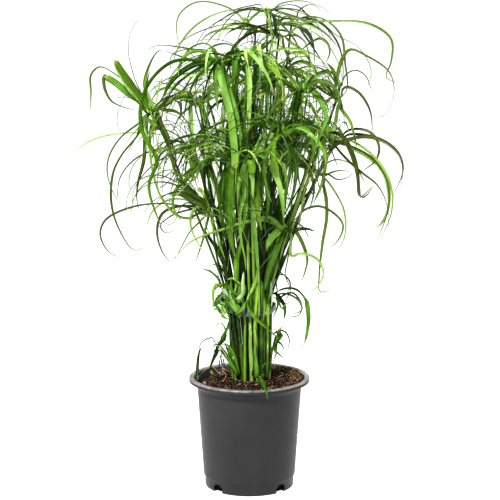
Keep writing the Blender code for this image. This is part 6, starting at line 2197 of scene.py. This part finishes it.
# Blades beside the shoots, as width, tint, age and places of (across, down, depth)
BLADES = {
    1: (
        (0.004, 0.72, 0.0, (246.5, 302, -0.0425), (250, 294.5, -0.043), (254, 286, -0.044),
            (257.5, 276, -0.046), (257.5, 262, -0.048), (257, 250, -0.05)),
        (0.0046, 0.65, 0.0, (229, 291, -0.031), (233, 300, -0.036), (237, 308, -0.04),
            (241.5, 313.5, -0.041)),
        (0.0064, 0.48, 0.0, (236.5, 281, -0.044), (236, 270, -0.048), (237, 258, -0.05),
            (240, 247, -0.052), (243, 238, -0.054)),
        (0.0026, 0.75, 0.0, (228, 280, -0.036), (232, 278.5, -0.041), (237, 281, -0.043),
            (241, 285, -0.044)),
        (0.0022, 0.8, 0.0, (236.5, 284, -0.038), (235, 292, -0.036), (233, 302, -0.034)),
        (0.0028, 0.9, 0.0, (271.5, 281, -0.03), (271.5, 293, -0.03), (272, 303, -0.03),
            (270.5, 309, -0.03)),
        (0.004, 0.6, 0.0, (257, 281, -0.04), (258, 297, -0.04), (259, 309, -0.0395),
            (259.5, 318, -0.036)),
        (0.003, 0.5, 0.0, (261, 281, -0.038), (262, 297, -0.038), (262.5, 310, -0.036)),
        (0.006, 0.35, 0.0, (252, 284, -0.038), (253, 297, -0.038), (253.5, 307, -0.036)),
        (0.0066, 0.6, 0.0, (230.5, 298, -0.036), (234, 306, -0.0405), (238, 313, -0.041),
            (240, 319, -0.038)),
        (0.006, 0.22, 0.0, (249, 299, -0.04), (251.5, 308, -0.0415), (254, 320, -0.04)),
        (0.004, 0.5, 0.0, (234, 309, -0.04), (237.5, 306, -0.041), (241, 310, -0.041)),
        (0.004, 0.75, 0.0, (269.5, 300, -0.031), (267.5, 307, -0.034), (268, 316, -0.034),
            (269, 328, -0.03)),
        (0.0044, 0.25, 0.0, (265, 296, -0.03), (268, 303, -0.033), (266, 309, -0.034),
            (264.5, 313, -0.034)),
        (0.0026, 0.85, 0.0, (264, 309, -0.0355), (266, 313, -0.036), (270, 314.5, -0.033)),
        (0.0034, 0.7, 0.0, (258, 284, -0.0425), (256.5, 298, -0.043), (255.5, 309, -0.043),
            (255, 322, -0.041), (254.5, 336, -0.036)),
        (0.003, 0.2, 0.0, (249, 288, -0.042), (250.5, 300, -0.0425), (251, 312, -0.0425),
            (251.5, 322, -0.04)),
        (0.0052, 0.3, 0.0, (224, 294, -0.034), (229, 303, -0.038), (235, 310, -0.041),
            (243, 318, -0.041)),
        (0.004, 0.12, 0.0, (231, 290, -0.036), (235, 300, -0.039), (240, 309, -0.041)),
        (0.003, 0.55, 0.0, (263, 292, -0.036), (264.5, 304, -0.0375), (264, 314, -0.037),
            (262.5, 324, -0.035)),
    ),
    2: (
        (0.0034, 0.1, 0.0, (228.5, 329, -0.03), (224, 336, -0.03), (220, 343, -0.03),
            (216, 351, -0.029), (213, 359, -0.024), (210.5, 367, -0.01), (211, 371.5, 0.02)),
        (0.003, 0.3, 0.0, (218.5, 347, -0.03), (225, 356, -0.029), (231, 364, -0.026),
            (237, 374, -0.02)),
        (0.0032, 0.2, 0.0, (223.5, 342, -0.031), (228, 351, -0.03), (232.5, 360, -0.028),
            (239, 377, -0.022)),
        (0.004, 0.45, 0.0, (225.5, 343.5, -0.03), (231, 350, -0.029), (235, 358, -0.027),
            (240, 376, -0.022)),
        (0.0042, 0.45, 0.0, (226, 356, -0.032), (230, 363, -0.031), (235, 370, -0.029),
            (238, 376, -0.027)),
        (0.0018, 0.05, 0.0, (220, 355, -0.02), (221.5, 361, -0.01), (223.5, 367, 0.01)),
        (0.0018, 0.05, 0.0, (223, 358.5, -0.02), (224, 363, -0.01), (224.2, 368, 0.01)),
        (0.0016, 0.05, 0.0, (219.8, 360, 0.02), (219.2, 364, 0.03), (219.6, 368, 0.04)),
        (0.0015, 0.05, 0.0, (213, 344.8, -0.031), (219, 344.2, -0.031), (225, 344.6, -0.031)),
        (0.0042, 0.0, 0.0, (197.2, 378, -0.004), (197.6, 370, 0.004), (198, 360, 0.006),
            (199, 353, 0.006), (201.5, 347.5, 0.006), (203, 346, 0.006)),
        (0.003, 0.6, 0.45, (210.5, 370, 0.04), (213, 373.5, 0.027), (217, 378, 0.004)),
        (0.0034, 0.9, 0.5, (219.5, 372.5, 0.033), (222, 376.5, 0.012), (226.5, 380, -0.008)),
        (0.0018, 0.6, 0.8, (222, 367.5, 0.058), (228, 371, 0.04), (234, 374.5, 0.021)),
    ),
    3: (
        (0.0044, 0.6, 0.0, (213, 307, -0.018), (217, 303.5, -0.024), (222, 303, -0.028),
            (227, 306, -0.032)),
        (0.004, 0.8, 0.0, (214, 311, -0.018), (219, 307.5, -0.025), (224, 310, -0.03),
            (228, 315, -0.032)),
        (0.0038, 0.45, 0.0, (218, 309, -0.022), (222, 314, -0.028), (225, 318, -0.03),
            (229, 319, -0.031)),
        (0.0026, 0.1, 0.0, (221, 316, -0.026), (225, 317.5, -0.029), (228, 319, -0.03)),
        (0.004, 0.05, 0.0, (216, 299, -0.014), (221, 298, -0.02), (226, 302, -0.026)),
        (0.0034, 0.3, 0.0, (227, 287, -0.018), (228.5, 294, -0.024), (228, 302, -0.028)),
    ),
    6: (
        (0.003, 0.1, 0.0, (246.5, 378, -0.026), (245.5, 355, -0.026), (244, 335, -0.028),
            (245, 318, -0.031)),
        (0.0034, 0.05, 0.0, (263, 378, -0.027), (261.5, 355, -0.028), (264.5, 333, -0.03),
            (262.5, 318, -0.033)),
        (0.0026, 0.2, 0.0, (258.5, 380, -0.028), (256.5, 360, -0.029), (257.5, 340, -0.03),
            (254.5, 321, -0.034)),
        (0.003, 0.05, 0.0, (269, 376, -0.018), (271, 355, -0.018), (270, 335, -0.018),
            (271.5, 322, -0.018)),
        (0.005, 0.5, 0.0, (257, 378, -0.031), (256.5, 366, -0.033), (255, 354, -0.033),
            (255.5, 340, -0.03)),
        (0.0024, 0.05, 0.0, (236, 378, -0.022), (234.5, 360, -0.022), (232, 342, -0.022),
            (233, 326, -0.024)),
        (0.0024, 0.65, 0.0, (251, 378, -0.032), (252.5, 362, -0.032), (251, 344, -0.032),
            (252, 330, -0.032)),
    ),
    5: (
        (0.006, 0.45, 0.0, (302.5, 296, 0.004), (307, 304, 0.004), (308.6, 318, 0.004),
            (307, 332, 0.004), (304, 343, 0.004)),
        (0.0028, 0.15, 0.0, (279, 290.5, 0.004), (288, 288, 0.004), (297, 289.5, 0.004),
            (303, 296, 0.004), (306.5, 305, 0.004)),
        (0.0028, 0.3, 0.0, (274, 297, -0.02), (277.5, 301, -0.018), (277.5, 307, -0.018),
            (275, 313, -0.02), (272.5, 319, -0.022)),
    ),
}


FLOOR_GREYS = ((0.3, (0.19, 0.19, 0.19)), (0.7, (0.21, 0.21, 0.21)))
WHITE = (1.0, 1.0, 1.0, 1.0)


def make_floor():
    """A pale floor that runs out of sight."""
    bm = bmesh.new()
    bmesh.ops.create_circle(bm, cap_ends=True, segments=64, radius=40.0)
    floor = from_bmesh("floor", bm)
    material, tree, shader = new_material("pale floor")
    put(tree, shader.inputs["Base Color"], ramp(tree, noise_at(tree, 3.0), FLOOR_GREYS))
    shader.inputs["Roughness"].default_value = 0.8
    shader.inputs["Emission Color"].default_value = WHITE
    shader.inputs["Emission Strength"].default_value = 0.96
    floor.data.materials.append(material)


def make_stage():
    """The floor, soft white light all round, and the lamps."""
    make_floor()
    world = bpy.data.worlds.new("studio")
    bpy.context.scene.world = world
    world.use_nodes = True
    back = world.node_tree.nodes["Background"]
    back.inputs["Color"].default_value = WHITE
    back.inputs["Strength"].default_value = 0.28
    for name, place, size, power in LIGHTS:
        data = bpy.data.lights.new(name, "AREA")
        data.shape = "DISK"
        data.size = size
        data.energy = power
        light = add_object(name, data)
        light.location = place
        aim = LIGHTS_AIM - Vector(place)
        light.rotation_euler = aim.to_track_quat("-Z", "Y").to_euler()


# The lamps, as name, place, size and power, and what they all point at
LIGHTS = (
    ("key", (-0.9, -2.0, 2.5), 0.40, 210.0),
    ("left", (-2.2, -1.3, 0.9), 0.7, 34.0),
    ("right", (2.2, -1.2, 1.2), 0.8, 24.0),
    ("top", (0.3, 0.9, 2.6), 0.6, 90.0),
)
LIGHTS_AIM = Vector((0.0, 0.0, 0.35))


def make_camera():
    """The photograph's view: eye, pitch and focal length as the tables above use them."""
    width = PHOTO_WIDTH
    data = bpy.data.cameras.new("view")
    data.sensor_width = 36.0
    data.lens = FOCAL / width * data.sensor_width
    data.shift_x = (width * 0.5 - AXIS_ACROSS) / width
    data.clip_start = 0.05
    data.clip_end = 200.0
    camera = add_object("view", data)
    camera.location = EYE
    camera.rotation_euler = (math.pi * 0.5 - PITCH, 0.0, 0.0)
    bpy.context.scene.camera = camera
    bpy.context.scene.view_settings.view_transform = "Standard"
    bpy.context.scene.view_settings.look = "Medium High Contrast"


def main():
    make_camera()
    make_stage()
    leaf = plant_material("bract green", BRACT_GREENS, 7.0, (0.20, 0.36, 0.08), 0.25, 0.35)
    culm = plant_material("culm green", CULM_GREENS, 9.0, (0.17, 0.22, 0.04))
    young = plant_material("young green", BRACT_GREENS, 7.0, (0.24, 0.36, 0.12), 0.25, 0.3)
    make_pot(plastic_material())
    make_soil(soil_material())
    make_crumbs(litter_material("crumbs", CRUMB_BROWNS, 0.80))
    make_fibres(litter_material("fibres", FIBRE_BROWNS, 0.70))
    make_tie(strap_material())
    lines, whorls = plan_plant()
    for number, (line, whorl) in enumerate(zip(lines, whorls), 1):
        if number <= len(STEMS):
            make_culm(number, line, STEMS[number - 1].thick, culm)
            make_whorl(number, line, whorl, leaf)
        else:
            order = number - len(STEMS)
            make_shoot(order, line, SHOOTS[order - 1], whorl, young)


main()
